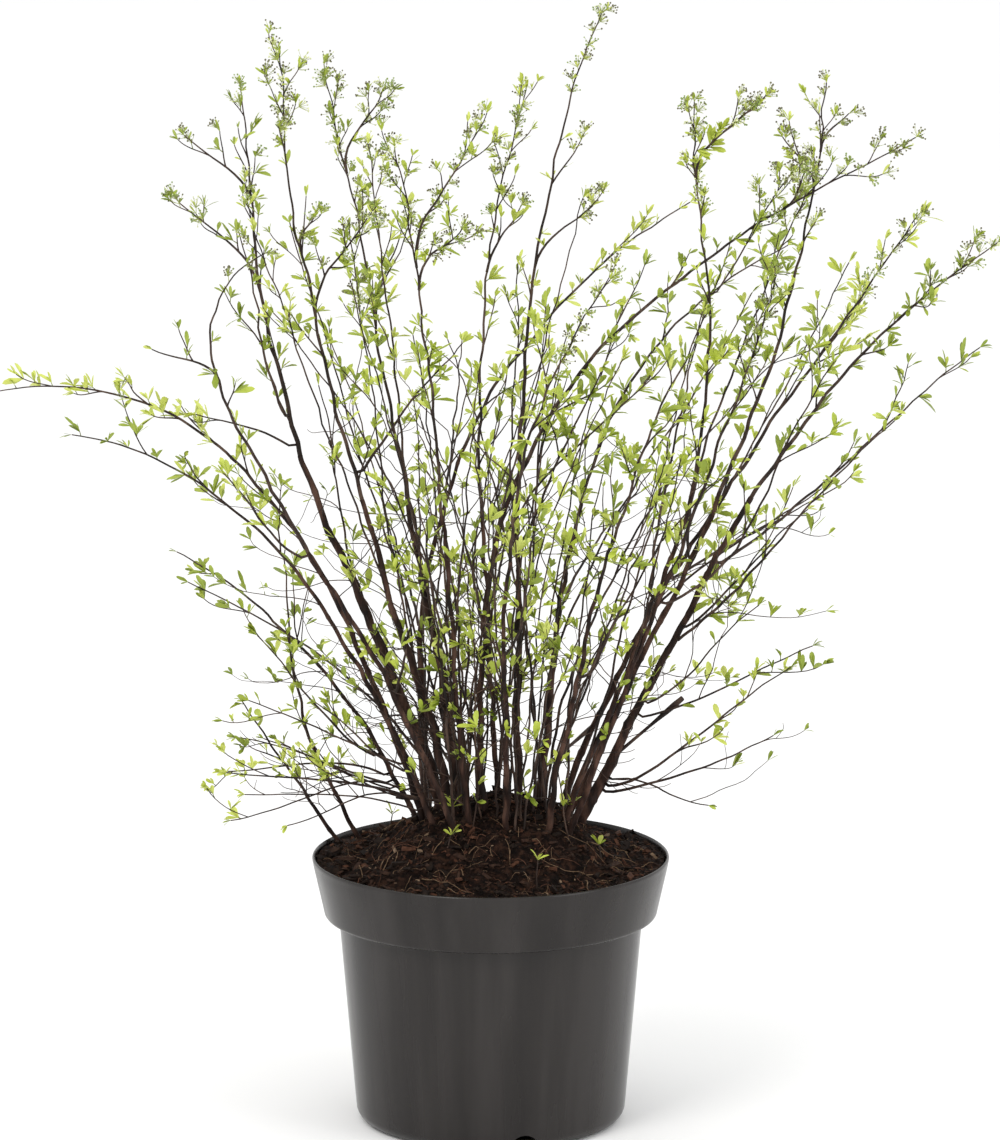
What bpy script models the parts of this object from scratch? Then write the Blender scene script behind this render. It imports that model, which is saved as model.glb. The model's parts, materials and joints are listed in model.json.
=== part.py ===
"""Spirea shrub in a round nursery pot, as separate solids for Blender 4.5.

Metres, +Z up. The pot's axis is the Z axis and its flat underside is at z = 0.
Lengths in the tables below are in millimetres.
"""
import math
import random

import bmesh
import bpy
import numpy as np
from mathutils import Matrix, Vector

MM = 0.001
GAP = 0.3            # clearance between neighbouring solids

# Pot: a thin moulded shell with a deep rim band
POT_HEIGHT = 212.0
RIM_RADIUS = 140.0          # outside of the rim, at the top
RIM_ROUND = 0.8             # how far the rim's top edge is eased inwards
RIM_DROP = 1.5              # and how far down the easing starts
BAND_FOOT_RADIUS = 131.0    # outside of the band where its lower lip starts
BAND_FOOT_HEIGHT = 169.0
LIP_ROUND = 2.5             # how far the lip has turned in
LIP_DROP = 4.0              # at this depth under the band's foot
BODY_TOP_RADIUS = 119.0
BODY_TOP_HEIGHT = 163.5     # where the wall meets the step under the band
BODY_FOOT_RADIUS = 106.0
CORNER = 12.0               # rounding between wall and underside
CORNER_TURNS = 2
WALL = 2.4
FLOOR = 3.0
STEP_THICK = 2.4            # the step under the band, measured upwards
POT_SIDES = 36
DRAIN_HOLES = 3             # arched notches round the pot's foot, open below
DRAIN_TURN = 14.5           # degrees from the front to the first of them
DRAIN_RADIUS = 12.0
DRAIN_HEIGHT = 0.5          # their middle over the underside
DRAIN_SIDES = 12

# Potting soil: level at the rim, with a low mound that the stems stand on
SOIL_EDGE_HEIGHT = 208.0
MOUND_HEIGHT = 240.0
MOUND_FLAT = 86.0           # radius of the mound's level top
MOUND_FOOT = 114.0

# Limbs
LIMB_RES = 1                # bevel resolution 1 gives six sides
STUB = 4.0                  # upright length at the foot of a stem
FLARE = 1.5                 # foot radius over stem radius
STUB_FLARE = 1.12           # the same at the top of the foot's upright stub
LIMB_STEP = 62.0            # length of one straight piece of a limb
TIP_RADIUS = 0.8
TAPER = 0.8                 # power of the taper along a stem
DEPTH_EVEN = 0.6            # share of a stem's reach in depth that it covers evenly
CURVE_STEPS = 80

# Sprays
SPRAY_STEP = 48.0           # length of one straight piece of a spray's stem
SPROUT_SLANT = 0.7          # first slope of a side spray, both off its carrier and along it
SPROUT_LAST = 1.15          # its sideways slope at the tip, over its reach
TWIG_BACK = 1.1             # a long twig starts this many times its clearance down the stem
LONG_TWIG_RADIUS = 1.5
TWIG_RADIUS = 1.2
TWIG_STEP = 125.0           # distance between short twigs
TWIG_LENGTH = 52.0
TWIG_SIZES = (0.6, 1.15)    # shortest and longest, over TWIG_LENGTH
TWIG_BARE = 0.3             # share of a short twig below its leaves
TWIG_ANGLE = 42.0           # degrees between a short twig and its stem
TWIG_SPREAD = 8.0           # how far that angle varies
TWIG_LIFT = 0.25            # how far a short twig turns up towards the light
TWIG_END = 40.0             # no short twig nearer than this to a stem's tip

# Leaves and buds
SEED = 24
LEAF_LENGTH = 29.0
LEAF_WIDTH = 10.0
LEAF_THICK = 1.4
LEAF_SIZES = (0.8, 1.15)    # smallest and largest, over the length and width above
TIP_LEAF_SIZES = (0.7, 0.9)
LEAF_NARROWS = 0.8          # a place near the leaf's tip that is kept clear as well
LEAF_STEP = 38.0            # distance between leaves along a twig
STEP_SPREAD = (0.8, 1.2)    # how far the distances between leaves and twigs vary
FIRST_STEP = (0.2, 0.65)    # the first one on a twig, over the same distances
LEAF_ANGLE = 52.0           # degrees between leaf and twig
LEAF_SPREAD = 12.0          # how far that angle varies
GOLDEN = 137.5              # degrees round the twig from leaf to leaf
TURN_SPREAD = 0.3           # how far that turn varies, in radians
ROOT_SUNK = 0.4             # how far past the twig's middle a leaf's root goes, in radii
TIP_SUNK = 3.0              # how deep the leaf at a twig's tip starts inside the twig
LEAF_END = 10.0             # no side leaf nearer than this to a twig's tip
BUD = 6.0                   # diameter of a cluster of flower buds
BUD_PLACE = 12.0            # distance of a bud cluster from a long twig's tip
SPACE = 1.2                 # a spray keeps this far inside its own space
SAMPLE_STEP = 3.0           # distance between the places that share out the space
CORNER_WELD = 0.01          # corners closer than this become one in a limb
UNION_WELD = 0.001          # and in a joined spray
LEAF_GREENS = ((0.33, 0.47, 0.10), (0.28, 0.42, 0.08), (0.38, 0.50, 0.13))


class Stem:
    """One stem from the soil: a bare limb that carries a leafy spray.

    foot is (x, y) on the soil and tip is (x, y, z). run is how far sideways, along x, the
    stem's slant at its foot and at its tip would carry it over its whole height, bow is how
    far its middle swings along x, and rise is the share of the climb at the foot and at
    the tip. girth is the diameter above the flare, bare is the share of the length below
    the leaves, and twigs are the tips of the longest side twigs.
    """

    def __init__(self, name, foot, tip, run, bow=0.0, rise=(1.0, 1.0), girth=6.0, bare=0.45,
                 twigs=()):
        self.name = name
        self.foot = foot
        self.tip = tip
        self.run = run
        self.bow = bow
        self.rise = rise
        self.girth = girth
        self.bare = bare
        self.twigs = twigs


class Side:
    """A spray on a stem's side: where on its carrier it starts, and its tip."""

    def __init__(self, name, carrier, at, tip, rise=(1.0, 1.0), girth=3.0, bare=0.3, twigs=()):
        self.name = name
        self.carrier = carrier
        self.at = at
        self.tip = tip
        self.rise = rise
        self.girth = girth
        self.bare = bare
        self.twigs = twigs


STEMS = (
    Stem("left_trunk", (-40, 28), (-194, 60, 812), run=(-125, -62), bow=-24, girth=7.6, bare=0.5,
         twigs=((-238, 62, 772), (-246, 96, 718))),
    Stem("left_rise", (-28, -6), (-162, -50, 852), run=(-160, -10), girth=5.6, bare=0.42,
         twigs=((-134, -66, 728), (-86, -100, 742))),
    Stem("back_left_rise", (-22, 46), (-130, 170, 802), run=(-80, -150), bow=-6, girth=5.2,
         twigs=((-86, 132, 796), (-72, 196, 676))),
    Stem("front_left_rise", (-18, -34), (-72, -150, 796), run=(-50, -100), girth=5.2,
         twigs=((-8, -110, 800), (-20, -190, 740))),
    Stem("back_rise", (4, 40), (28, 120, 800), run=(-10, 190), girth=5.0,
         twigs=((26, 146, 704),)),
    Stem("tall_leader", (22, 8), (85, 0, 876), run=(10, 240), girth=6.4, bare=0.42,
         twigs=((80, 32, 722),)),
    Stem("crossing", (-52, 60), (158, 250, 690), run=(-60, 420), bow=-14, rise=(1.3, 0.45),
         girth=5.2, bare=0.5),
    Stem("right_reach", (-4, -14), (324, -80, 792), run=(-60, 600), bow=-20, rise=(1.6, 0.6),
         girth=6.0, bare=0.42, twigs=((238, -96, 768),)),
    Stem("front_rise", (14, -42), (90, -280, 716), run=(0, 300), girth=5.0),
    Stem("back_right_rise", (38, 42), (238, 220, 660), run=(60, 520), rise=(1.5, 0.5),
         girth=5.4),
    Stem("front_right_rise", (46, -40), (162, -270, 690), run=(70, 200), girth=5.2),
    Stem("right_rise", (60, -14), (152, -100, 822), run=(160, -20), bow=30, girth=5.8, bare=0.48,
         twigs=((208, -122, 830),)),
    Stem("right_leader", (64, 20), (260, 60, 814), run=(220, 50), bow=10, girth=6.2,
         twigs=((280, 84, 786), (226, 30, 776))),
    Stem("front_right_outer", (66, -32), (216, -200, 706), run=(150, 120), girth=5.4),
    Stem("back_right_outer", (58, 46), (338, 120, 702), run=(150, 330), girth=6.0,
         twigs=((296, 160, 630),)),
    Stem("right_trunk", (74, 12), (392, -20, 702), run=(260, 540), rise=(1.05, 0.8), girth=7.6,
         bare=0.5, twigs=((330, -46, 662),)),
    Stem("left_arch", (-56, 8), (-384, 20, 578), run=(-180, -560), rise=(1.7, -0.3),
         girth=5.6, bare=0.55),
    Stem("left_low_arch", (-46, -22), (-318, -130, 572), run=(-180, -420), rise=(1.4, 0.3),
         girth=5.2, bare=0.52),
    Stem("front_left_outer", (-30, -44), (-166, -220, 726), run=(-180, 400), rise=(1.3, 0.5),
         girth=5.4, twigs=((-254, -200, 650),)),
    Stem("low_left_reach", (-64, 34), (-252, 150, 424), run=(-120, -280), rise=(1.2, 0.6),
         girth=4.2, bare=0.5),
    Stem("left_cane", (-105, 62), (-160, 80, 440), run=(-130, 20), girth=3.8, bare=0.5),
    Stem("left_short_cane", (-121, 56), (-196, 20, 332), run=(-80, -70), girth=3.4, bare=0.35),
)

SIDES = (
    Side("right_arm", "right_trunk", 0.40, (384, 80, 602), bare=0.3),
    Side("right_low_arm", "right_trunk", 0.28, (304, -160, 588), bare=0.35),
    Side("back_right_arm", "back_right_outer", 0.36, (260, 200, 456), bare=0.3),
    Side("front_right_arm", "front_right_outer", 0.40, (262, -150, 636), bare=0.3),
    Side("low_left_fan", "left_low_arch", 0.05, (-206, -60, 292), bare=0.3,
         twigs=((-190, -30, 246), (-150, -80, 330))),
    Side("low_right_fan", "right_trunk", 0.05, (232, -60, 376), bare=0.3,
         twigs=((190, -90, 290),)),
    Side("front_left_fill", "front_left_outer", 0.22, (-52, -200, 466), bare=0.35),
    Side("front_fill", "front_rise", 0.30, (36, -250, 536), bare=0.3),
    Side("front_right_fill", "front_right_rise", 0.28, (122, -230, 528), bare=0.3),
    Side("back_left_fill", "crossing", 0.24, (-88, 240, 450), bare=0.3),
    Side("back_fill", "crossing", 0.42, (-24, 290, 570), bare=0.3),
    Side("back_right_fill", "back_right_rise", 0.30, (132, 260, 470), bare=0.3),
    Side("back_mid_fill", "back_rise", 0.25, (24, 290, 470), bare=0.3),
)


def hermite(start, end, start_slope, end_slope, t):
    """Cubic through start and end with the given slopes, at t from 0 to 1."""
    return (start * (2 * t**3 - 3 * t**2 + 1) + start_slope * (t**3 - 2 * t**2 + t)
            + end * (3 * t**2 - 2 * t**3) + end_slope * (t**3 - t**2))


def unit(vector):
    return vector / np.linalg.norm(vector)


def arc_lengths(curve):
    steps = np.linalg.norm(np.diff(curve, axis=0), axis=1)
    return np.concatenate(([0.0], np.cumsum(steps)))


def even_points(curve, step):
    """The curve cut into straight pieces of about one step each."""
    lengths = arc_lengths(curve)
    count = max(2, int(round(lengths[-1] / step)) + 1)
    wanted = np.linspace(0.0, lengths[-1], count)
    return np.column_stack([np.interp(wanted, lengths, curve[:, axis]) for axis in range(3)])


def split_curve(curve, share, gap):
    """The curve's lower and upper part, with a gap between them at a share of its length."""
    lengths = arc_lengths(curve)
    cut = share * lengths[-1]

    def at(length):
        return np.array([np.interp(length, lengths, curve[:, axis]) for axis in range(3)])

    lower = np.vstack([curve[lengths < cut - gap], at(cut)])
    upper = np.vstack([at(cut + gap), curve[lengths > cut + 2 * gap]])
    return lower, upper


def soil_height(radius):
    return MOUND_HEIGHT if radius <= MOUND_FLAT else SOIL_EDGE_HEIGHT


def stem_curve(stem):
    """A stem's whole centre line, from the soil to the tip of its spray."""
    t = np.linspace(0.0, 1.0, CURVE_STEPS + 1)
    foot_z = soil_height(math.hypot(*stem.foot)) + GAP
    start = np.array([stem.foot[0], stem.foot[1], foot_z + STUB])
    tip = np.array(stem.tip, dtype=float)
    climb = tip[2] - start[2]
    x = hermite(start[0], tip[0], stem.run[0], stem.run[1], t)
    x += stem.bow * 16 * t**2 * (1 - t)**2
    y = start[1] + (tip[1] - start[1]) * (DEPTH_EVEN * t + (1 - DEPTH_EVEN) * t**2)
    z = hermite(start[2], tip[2], climb * stem.rise[0], climb * stem.rise[1], t)
    foot = np.array([[start[0], start[1], foot_z]])
    return np.vstack([foot, np.column_stack([x, y, z])])


def side_curve(side, root, along, carrier_radius):
    """A side spray's centre line, square off its carrier's bark at first."""
    tip = np.array(side.tip, dtype=float)
    outward = tip - root
    outward = unit(outward - along * outward.dot(along))
    start = root + outward * (carrier_radius + GAP)
    bend = start + outward * STUB
    reach = tip - bend
    first = (outward + along) * SPROUT_SLANT * np.linalg.norm(reach)
    last = reach * np.array([SPROUT_LAST, SPROUT_LAST, side.rise[1]])
    t = np.linspace(0.0, 1.0, CURVE_STEPS + 1)[:, None]
    return np.vstack([start, hermite(bend, tip, first, last, t)])


def twig_curve(main, tip):
    """A long side twig from a spray's main stem to a named tip."""
    tip = np.array(tip, dtype=float)
    distance = np.linalg.norm(main - tip, axis=1)
    nearest = int(np.argmin(distance))
    lengths = arc_lengths(main)
    back = lengths[nearest] - TWIG_BACK * distance[nearest]
    index = max(1, int(np.searchsorted(lengths, back)))
    index = min(index, len(main) - 2)
    root = main[index]
    along = unit(main[index + 1] - main[index - 1])
    reach = tip - root
    t = np.linspace(0.0, 1.0, CURVE_STEPS + 1)[:, None]
    return hermite(root, tip, along * np.linalg.norm(reach), reach, t)


class Twig:
    """A straight-sided run of twig: its points, their radii, and how far it is bare."""

    def __init__(self, points, radii, bare):
        self.points = np.asarray(points, dtype=float)
        self.radii = np.asarray(radii, dtype=float)
        self.bare = bare
        self.lengths = arc_lengths(self.points)
        self.length = self.lengths[-1]

    def at(self, length):
        """Place, direction and radius at a length along the twig."""
        place = np.array([np.interp(length, self.lengths, self.points[:, axis])
                          for axis in range(3)])
        index = min(int(np.searchsorted(self.lengths, length, side="right")),
                    len(self.points) - 1)
        along = unit(self.points[index] - self.points[index - 1])
        return place, along, float(np.interp(length, self.lengths, self.radii))

    def samples(self):
        """Places close together along the twig, and their radii."""
        count = max(2, int(self.length / SAMPLE_STEP) + 1)
        wanted = np.linspace(0.0, self.length, count)
        places = np.column_stack([np.interp(wanted, self.lengths, self.points[:, axis])
                                  for axis in range(3)])
        return places, np.interp(wanted, self.lengths, self.radii)


class Space:
    """Shares the crown out: a place belongs to the limb or spray whose wood is nearest."""

    def __init__(self):
        self.places = []
        self.radii = []
        self.owners = []

    def add(self, owner, twig):
        places, radii = twig.samples()
        self.places.append(places)
        self.radii.append(radii)
        self.owners.extend([owner] * len(places))

    def close(self):
        self.places = np.vstack(self.places)
        self.radii = np.concatenate(self.radii)
        self.owners = np.array(self.owners)

    def holds(self, owner, places):
        """True if all the places lie in the owner's share, clear of its neighbours."""
        away = np.linalg.norm(places[:, None, :] - self.places[None, :, :], axis=2)
        mine = self.owners == owner
        own = away[:, mine].min(axis=1)
        other = (away[:, ~mine] - self.radii[~mine]).min(axis=1)
        return bool(np.all(own + SPACE < other))


def stem_radius(carrier, share):
    """Radius of a stem or side spray at a share of its whole length."""
    return TIP_RADIUS + (carrier.girth / 2 - TIP_RADIUS) * (1 - share)**TAPER


def limb_twig(stem, lower, whole_length):
    """A bare limb's points and radii, flared at its flat foot."""
    points = np.vstack([lower[:1], even_points(lower[1:], LIMB_STEP)])
    lengths = arc_lengths(points)
    radii = np.array([stem_radius(stem, length / whole_length) for length in lengths])
    radii[0] *= FLARE
    radii[1] *= STUB_FLARE
    return Twig(points, radii, 0.0)


def spray_twig(carrier, curve, start_share, bare_share, sprout=0):
    """A spray's main stem, which takes up its carrier's taper where the limb ends.

    sprout is the number of points at its root that stay as they are.
    """
    points = np.vstack([curve[:sprout], even_points(curve[sprout:], SPRAY_STEP)])
    lengths = arc_lengths(points)
    shares = start_share + (1 - start_share) * lengths / lengths[-1]
    radii = [stem_radius(carrier, share) for share in shares]
    return Twig(points, radii, bare_share * lengths[-1])


def long_twigs(main, tips):
    """The named side twigs of a spray, each from the main stem to its tip."""
    twigs = []
    places = main.samples()[0]
    for tip in tips:
        points = even_points(twig_curve(places, tip), SPRAY_STEP)
        radii = np.linspace(LONG_TWIG_RADIUS, TIP_RADIUS, len(points))
        twigs.append(Twig(points, radii, LEAF_STEP / 2))
    return twigs


def lay_out():
    """Limbs and sprays as twigs, by name, worked out from the two tables."""
    limbs = {}
    sprays = {}
    wholes = {}
    for stem in STEMS:
        curve = stem_curve(stem)
        whole = arc_lengths(curve)[-1]
        lower, upper = split_curve(curve, stem.bare, GAP)
        limbs[f"{stem.name}_stem"] = limb_twig(stem, lower, whole)
        main = spray_twig(stem, upper, stem.bare, 0.0)
        sprays[f"{stem.name}_spray"] = [main, *long_twigs(main, stem.twigs)]
        wholes[stem.name] = whole
    for side in SIDES:
        limb = limbs[f"{side.carrier}_stem"]
        curve = side_curve(side, *limb.at(side.at * wholes[side.carrier]))
        main = spray_twig(side, curve, 0.0, side.bare, sprout=1)
        sprays[f"{side.name}_spray"] = [main, *long_twigs(main, side.twigs)]
    return limbs, sprays


def add_material(name, colour, roughness):
    material = bpy.data.materials.new(name)
    material.use_nodes = True
    shader = material.node_tree.nodes["Principled BSDF"]
    shader.inputs["Base Color"].default_value = (*colour, 1.0)
    shader.inputs["Roughness"].default_value = roughness
    shader.inputs["Metallic"].default_value = 0.0
    return material


def add_object(name, mesh, material, collection):
    thing = bpy.data.objects.new(name, mesh)
    mesh.materials.clear()
    mesh.materials.append(material)
    collection.objects.link(thing)
    return thing


def turned(name, profile, material, collection):
    """A profile of (radius, height) from top to bottom, turned round the Z axis."""
    mesh = bpy.data.meshes.new(name)
    mesh.from_pydata([(r * MM, 0.0, z * MM) for r, z in profile],
                     [(i, i + 1) for i in range(len(profile) - 1)], [])
    thing = add_object(name, mesh, material, collection)
    screw = thing.modifiers.new("turn", "SCREW")
    screw.steps = POT_SIDES
    screw.render_steps = POT_SIDES
    screw.use_merge_vertices = True
    screw.merge_threshold = 0.00001
    screw.use_smooth_shade = False
    return thing


def corner_points(radius, height):
    """The rounded corner between wall and underside, from the wall down."""
    points = []
    for step in range(CORNER_TURNS + 1):
        angle = step / CORNER_TURNS * math.pi / 2
        points.append((radius - CORNER * (1 - math.cos(angle)),
                       height + CORNER * (1 - math.sin(angle))))
    return points


def pot_outside():
    """The pot's outside, from the rim's top to the middle of the underside."""
    return [
        (RIM_RADIUS - RIM_ROUND, POT_HEIGHT),
        (RIM_RADIUS, POT_HEIGHT - RIM_DROP),
        (BAND_FOOT_RADIUS, BAND_FOOT_HEIGHT),
        (BAND_FOOT_RADIUS - LIP_ROUND, BAND_FOOT_HEIGHT - LIP_DROP),
        (BODY_TOP_RADIUS, BODY_TOP_HEIGHT),
        *corner_points(BODY_FOOT_RADIUS, 0.0),
    ]


def pot_inside(clearance):
    """The pot's inside wall, from the top down, moved inwards by a clearance."""
    inset = WALL + clearance
    corner = corner_points(BODY_FOOT_RADIUS - inset, FLOOR + clearance)
    return [
        (RIM_RADIUS - inset, POT_HEIGHT - clearance),
        (BAND_FOOT_RADIUS - inset, BAND_FOOT_HEIGHT + STEP_THICK + clearance),
        (BODY_TOP_RADIUS - inset, BODY_TOP_HEIGHT + STEP_THICK + clearance),
        *corner,
    ]


def add_pot(collection, cutters):
    material = add_material("pot_plastic", (0.045, 0.043, 0.042), 0.38)
    inner = pot_inside(0.0)
    profile = [(0.0, FLOOR), *reversed(inner), *pot_outside(), (0.0, 0.0)]
    pot = turned("pot", profile, material, collection)
    for index in range(DRAIN_HOLES):
        angle = math.radians(DRAIN_TURN) + index / DRAIN_HOLES * 2 * math.pi - math.pi / 2
        bpy.ops.mesh.primitive_cylinder_add(vertices=DRAIN_SIDES, radius=DRAIN_RADIUS * MM,
                                            depth=3 * CORNER * MM)
        cutter = bpy.context.object
        cutter.name = f"drain_cutter_{index + 1}"
        reach = (BODY_FOOT_RADIUS - CORNER / 3) * MM
        cutter.location = (reach * math.cos(angle), reach * math.sin(angle), DRAIN_HEIGHT * MM)
        cutter.rotation_euler = (0.0, math.pi / 2, angle)
        move_to(cutter, cutters)
    drill = pot.modifiers.new("drain_holes", "BOOLEAN")
    drill.operation = "DIFFERENCE"
    drill.solver = "EXACT"
    drill.operand_type = "COLLECTION"
    drill.collection = cutters
    return pot


def add_soil(collection):
    material = add_material("bark_compost", (0.030, 0.016, 0.010), 0.95)
    wall = pot_inside(GAP)
    share = (POT_HEIGHT - SOIL_EDGE_HEIGHT) / (POT_HEIGHT - BAND_FOOT_HEIGHT)
    edge_radius = wall[0][0] + (wall[1][0] - wall[0][0]) * share
    profile = [(0.0, MOUND_HEIGHT), (MOUND_FLAT, MOUND_HEIGHT), (MOUND_FOOT, SOIL_EDGE_HEIGHT),
               (edge_radius, SOIL_EDGE_HEIGHT), *wall[1:], (0.0, FLOOR + GAP)]
    return turned("potting_soil", profile, material, collection)


def move_to(thing, collection):
    for holder in list(thing.users_collection):
        holder.objects.unlink(thing)
    collection.objects.link(thing)


def applied(thing, collection, weld=CORNER_WELD):
    """The object with its modifiers or curve turned into one welded mesh."""
    graph = bpy.context.evaluated_depsgraph_get()
    mesh = bpy.data.meshes.new_from_object(thing.evaluated_get(graph))
    work = bmesh.new()
    work.from_mesh(mesh)
    bmesh.ops.remove_doubles(work, verts=work.verts, dist=weld * MM)
    bmesh.ops.recalc_face_normals(work, faces=work.faces)
    work.to_mesh(mesh)
    work.free()
    name = thing.name
    material = thing.data.materials[0]
    place = thing.matrix_world.copy()
    bpy.data.objects.remove(thing)
    result = add_object(name, mesh, material, collection)
    result.name = name
    result.matrix_world = place
    return result


def tube(name, points, radii, material, collection, outline=None):
    """A tapering limb with flat ends; outline is the cross-section, or none for round."""
    data = bpy.data.curves.new(name, "CURVE")
    data.dimensions = "3D"
    data.twist_mode = "MINIMUM"
    data.use_fill_caps = True
    if outline is None:
        data.bevel_depth = 1.0
        data.bevel_resolution = LIMB_RES
    else:
        data.bevel_mode = "OBJECT"
        data.bevel_object = outline
    line = data.splines.new("POLY")
    line.points.add(len(points) - 1)
    for point, place, radius in zip(line.points, points, radii):
        point.co = (*(place * MM), 1.0)
        point.radius = radius * MM
    data.materials.append(material)
    thing = bpy.data.objects.new(name, data)
    collection.objects.link(thing)
    bpy.context.view_layer.update()
    return applied(thing, collection)


def triangle_outline(collection):
    """A closed three-sided curve, the cross-section of every leafy twig."""
    data = bpy.data.curves.new("twig_outline", "CURVE")
    data.dimensions = "2D"
    ring = data.splines.new("POLY")
    ring.points.add(2)
    for index, point in enumerate(ring.points):
        angle = index * 2 * math.pi / 3
        point.co = (math.cos(angle), math.sin(angle), 0.0, 1.0)
    ring.use_cyclic_u = True
    outline = bpy.data.objects.new("twig_outline", data)
    collection.objects.link(outline)
    return outline


def square_to(along, angle):
    """A unit vector square to a direction, turned by an angle round it."""
    side = unit(np.cross(along, (0.0, 0.0, 1.0) if abs(along[2]) < 0.95 else (1.0, 0.0, 0.0)))
    return side * math.cos(angle) + np.cross(along, side) * math.sin(angle)


def leaf_frame(root, direction, length, width, thick):
    """The matrix that takes a unit ball to a leaf, with its blade facing up."""
    across = np.cross(direction, (0.0, 0.0, 1.0))
    if np.linalg.norm(across) < 0.2:
        across = np.cross(direction, (0.0, 1.0, 0.0))
    across = unit(across)
    normal = np.cross(across, direction)
    middle = root + direction * length / 2
    columns = (across * width / 2, normal * thick / 2, direction * length / 2)
    frame = Matrix.Identity(4)
    for index, column in enumerate(columns):
        for row in range(3):
            frame[row][index] = column[row] * MM
    for row in range(3):
        frame[row][3] = middle[row] * MM
    edge = [middle + across * width / 2, middle - across * width / 2, middle,
            root + direction * length * LEAF_NARROWS, root + direction * length]
    return frame, np.array(edge)


def grow_short_twigs(axes, owner, space, rng):
    """Short twigs off the long ones, turned by the golden angle from one to the next."""
    grown = []
    turn = rng.uniform(0.0, 2 * math.pi)
    for axis in axes:
        length = axis.bare + TWIG_STEP * rng.uniform(*FIRST_STEP)
        while length < axis.length - TWIG_END:
            place, along, radius = axis.at(length)
            turn += math.radians(GOLDEN)
            slant = math.radians(TWIG_ANGLE + rng.uniform(-TWIG_SPREAD, TWIG_SPREAD))
            direction = along * math.cos(slant) + square_to(along, turn) * math.sin(slant)
            direction = unit(direction + np.array((0.0, 0.0, TWIG_LIFT)))
            reach = TWIG_LENGTH * rng.uniform(*TWIG_SIZES)
            tip = place + direction * reach
            twig = Twig([place, tip], [min(radius, TWIG_RADIUS), TIP_RADIUS],
                        reach * TWIG_BARE)
            if space.holds(owner, np.linspace(place, tip, 6)[2:]):
                grown.append(twig)
            length += TWIG_STEP * rng.uniform(*STEP_SPREAD)
    return grown


def grow_leaves(axes, owner, space, rng):
    """Leaf frames along all the twigs of a spray, and one at each tip."""
    frames = []

    def try_leaf(place, direction, size):
        frame, edge = leaf_frame(place, direction, LEAF_LENGTH * size, LEAF_WIDTH * size,
                                 LEAF_THICK)
        if space.holds(owner, edge):
            frames.append(frame)

    for axis in axes:
        turn = rng.uniform(0.0, 2 * math.pi)
        length = axis.bare + LEAF_STEP * rng.uniform(*FIRST_STEP)
        while length < axis.length - LEAF_END:
            place, along, radius = axis.at(length)
            turn += math.radians(GOLDEN) + rng.uniform(-TURN_SPREAD, TURN_SPREAD)
            slant = math.radians(LEAF_ANGLE + rng.uniform(-LEAF_SPREAD, LEAF_SPREAD))
            direction = along * math.cos(slant) + square_to(along, turn) * math.sin(slant)
            root = place - direction * radius * ROOT_SUNK
            try_leaf(root, direction, rng.uniform(*LEAF_SIZES))
            length += LEAF_STEP * rng.uniform(*STEP_SPREAD)
        place, along, radius = axis.at(axis.length)
        try_leaf(place - along * TIP_SUNK, along, rng.uniform(*TIP_LEAF_SIZES))
    return frames


def bud_frames(axes):
    """A cluster of flower buds near the tip of each long twig."""
    frames = []
    for axis in axes:
        place = axis.at(axis.length - BUD_PLACE)[0]
        frames.append(Matrix.Translation(Vector(place * MM)) @ Matrix.Scale(BUD / 2 * MM, 4))
    return frames


def add_octahedron(name, frame, material, collection):
    """A leaf or a bud cluster: a ball of eight faces set by its frame."""
    mesh = bpy.data.meshes.new(name)
    work = bmesh.new()
    bmesh.ops.create_uvsphere(work, u_segments=4, v_segments=2, radius=1.0, matrix=frame)
    bmesh.ops.recalc_face_normals(work, faces=work.faces)
    work.to_mesh(mesh)
    work.free()
    return add_object(name, mesh, material, collection)


def shells(work):
    """The connected parts of a mesh, as lists of faces."""
    left = set(work.faces)
    found = []
    while left:
        stack = [left.pop()]
        part = []
        while stack:
            face = stack.pop()
            part.append(face)
            for edge in face.edges:
                for other in edge.link_faces:
                    if other in left:
                        left.remove(other)
                        stack.append(other)
        found.append(part)
    return found


def keep_outer_shell(thing):
    """Drops the sealed hollows and loose scraps that the union leaves."""
    work = bmesh.new()
    work.from_mesh(thing.data)
    parts = sorted(shells(work), key=len, reverse=True)
    for part in parts[1:]:
        bmesh.ops.delete(work, geom=part, context="FACES")
    bmesh.ops.triangulate(work, faces=work.faces)
    open_edges = sum(1 for edge in work.edges if len(edge.link_faces) != 2)
    print(f"{thing.name}: {len(work.faces)} triangles, {open_edges} open edges")
    work.to_mesh(thing.data)
    work.free()


def join_spray(name, axes, frames, material, collection, outline):
    """One solid: the twigs and leaves of a spray fused by one union."""
    pieces = bpy.data.collections.new(f"{name}_pieces")
    bpy.context.scene.collection.children.link(pieces)
    body = tube(name, axes[0].points, axes[0].radii, material, collection, outline)
    for index, axis in enumerate(axes[1:]):
        tube(f"{name}_twig_{index}", axis.points, axis.radii, material, pieces, outline)
    for index, frame in enumerate(frames):
        add_octahedron(f"{name}_leaf_{index}", frame, material, pieces)
    union = body.modifiers.new("fuse", "BOOLEAN")
    union.operation = "UNION"
    union.solver = "EXACT"
    union.operand_type = "COLLECTION"
    union.collection = pieces
    bpy.context.view_layer.update()
    fused = applied(body, collection, UNION_WELD)
    for piece in list(pieces.objects):
        bpy.data.objects.remove(piece)
    bpy.data.collections.remove(pieces)
    keep_outer_shell(fused)
    return fused


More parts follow.
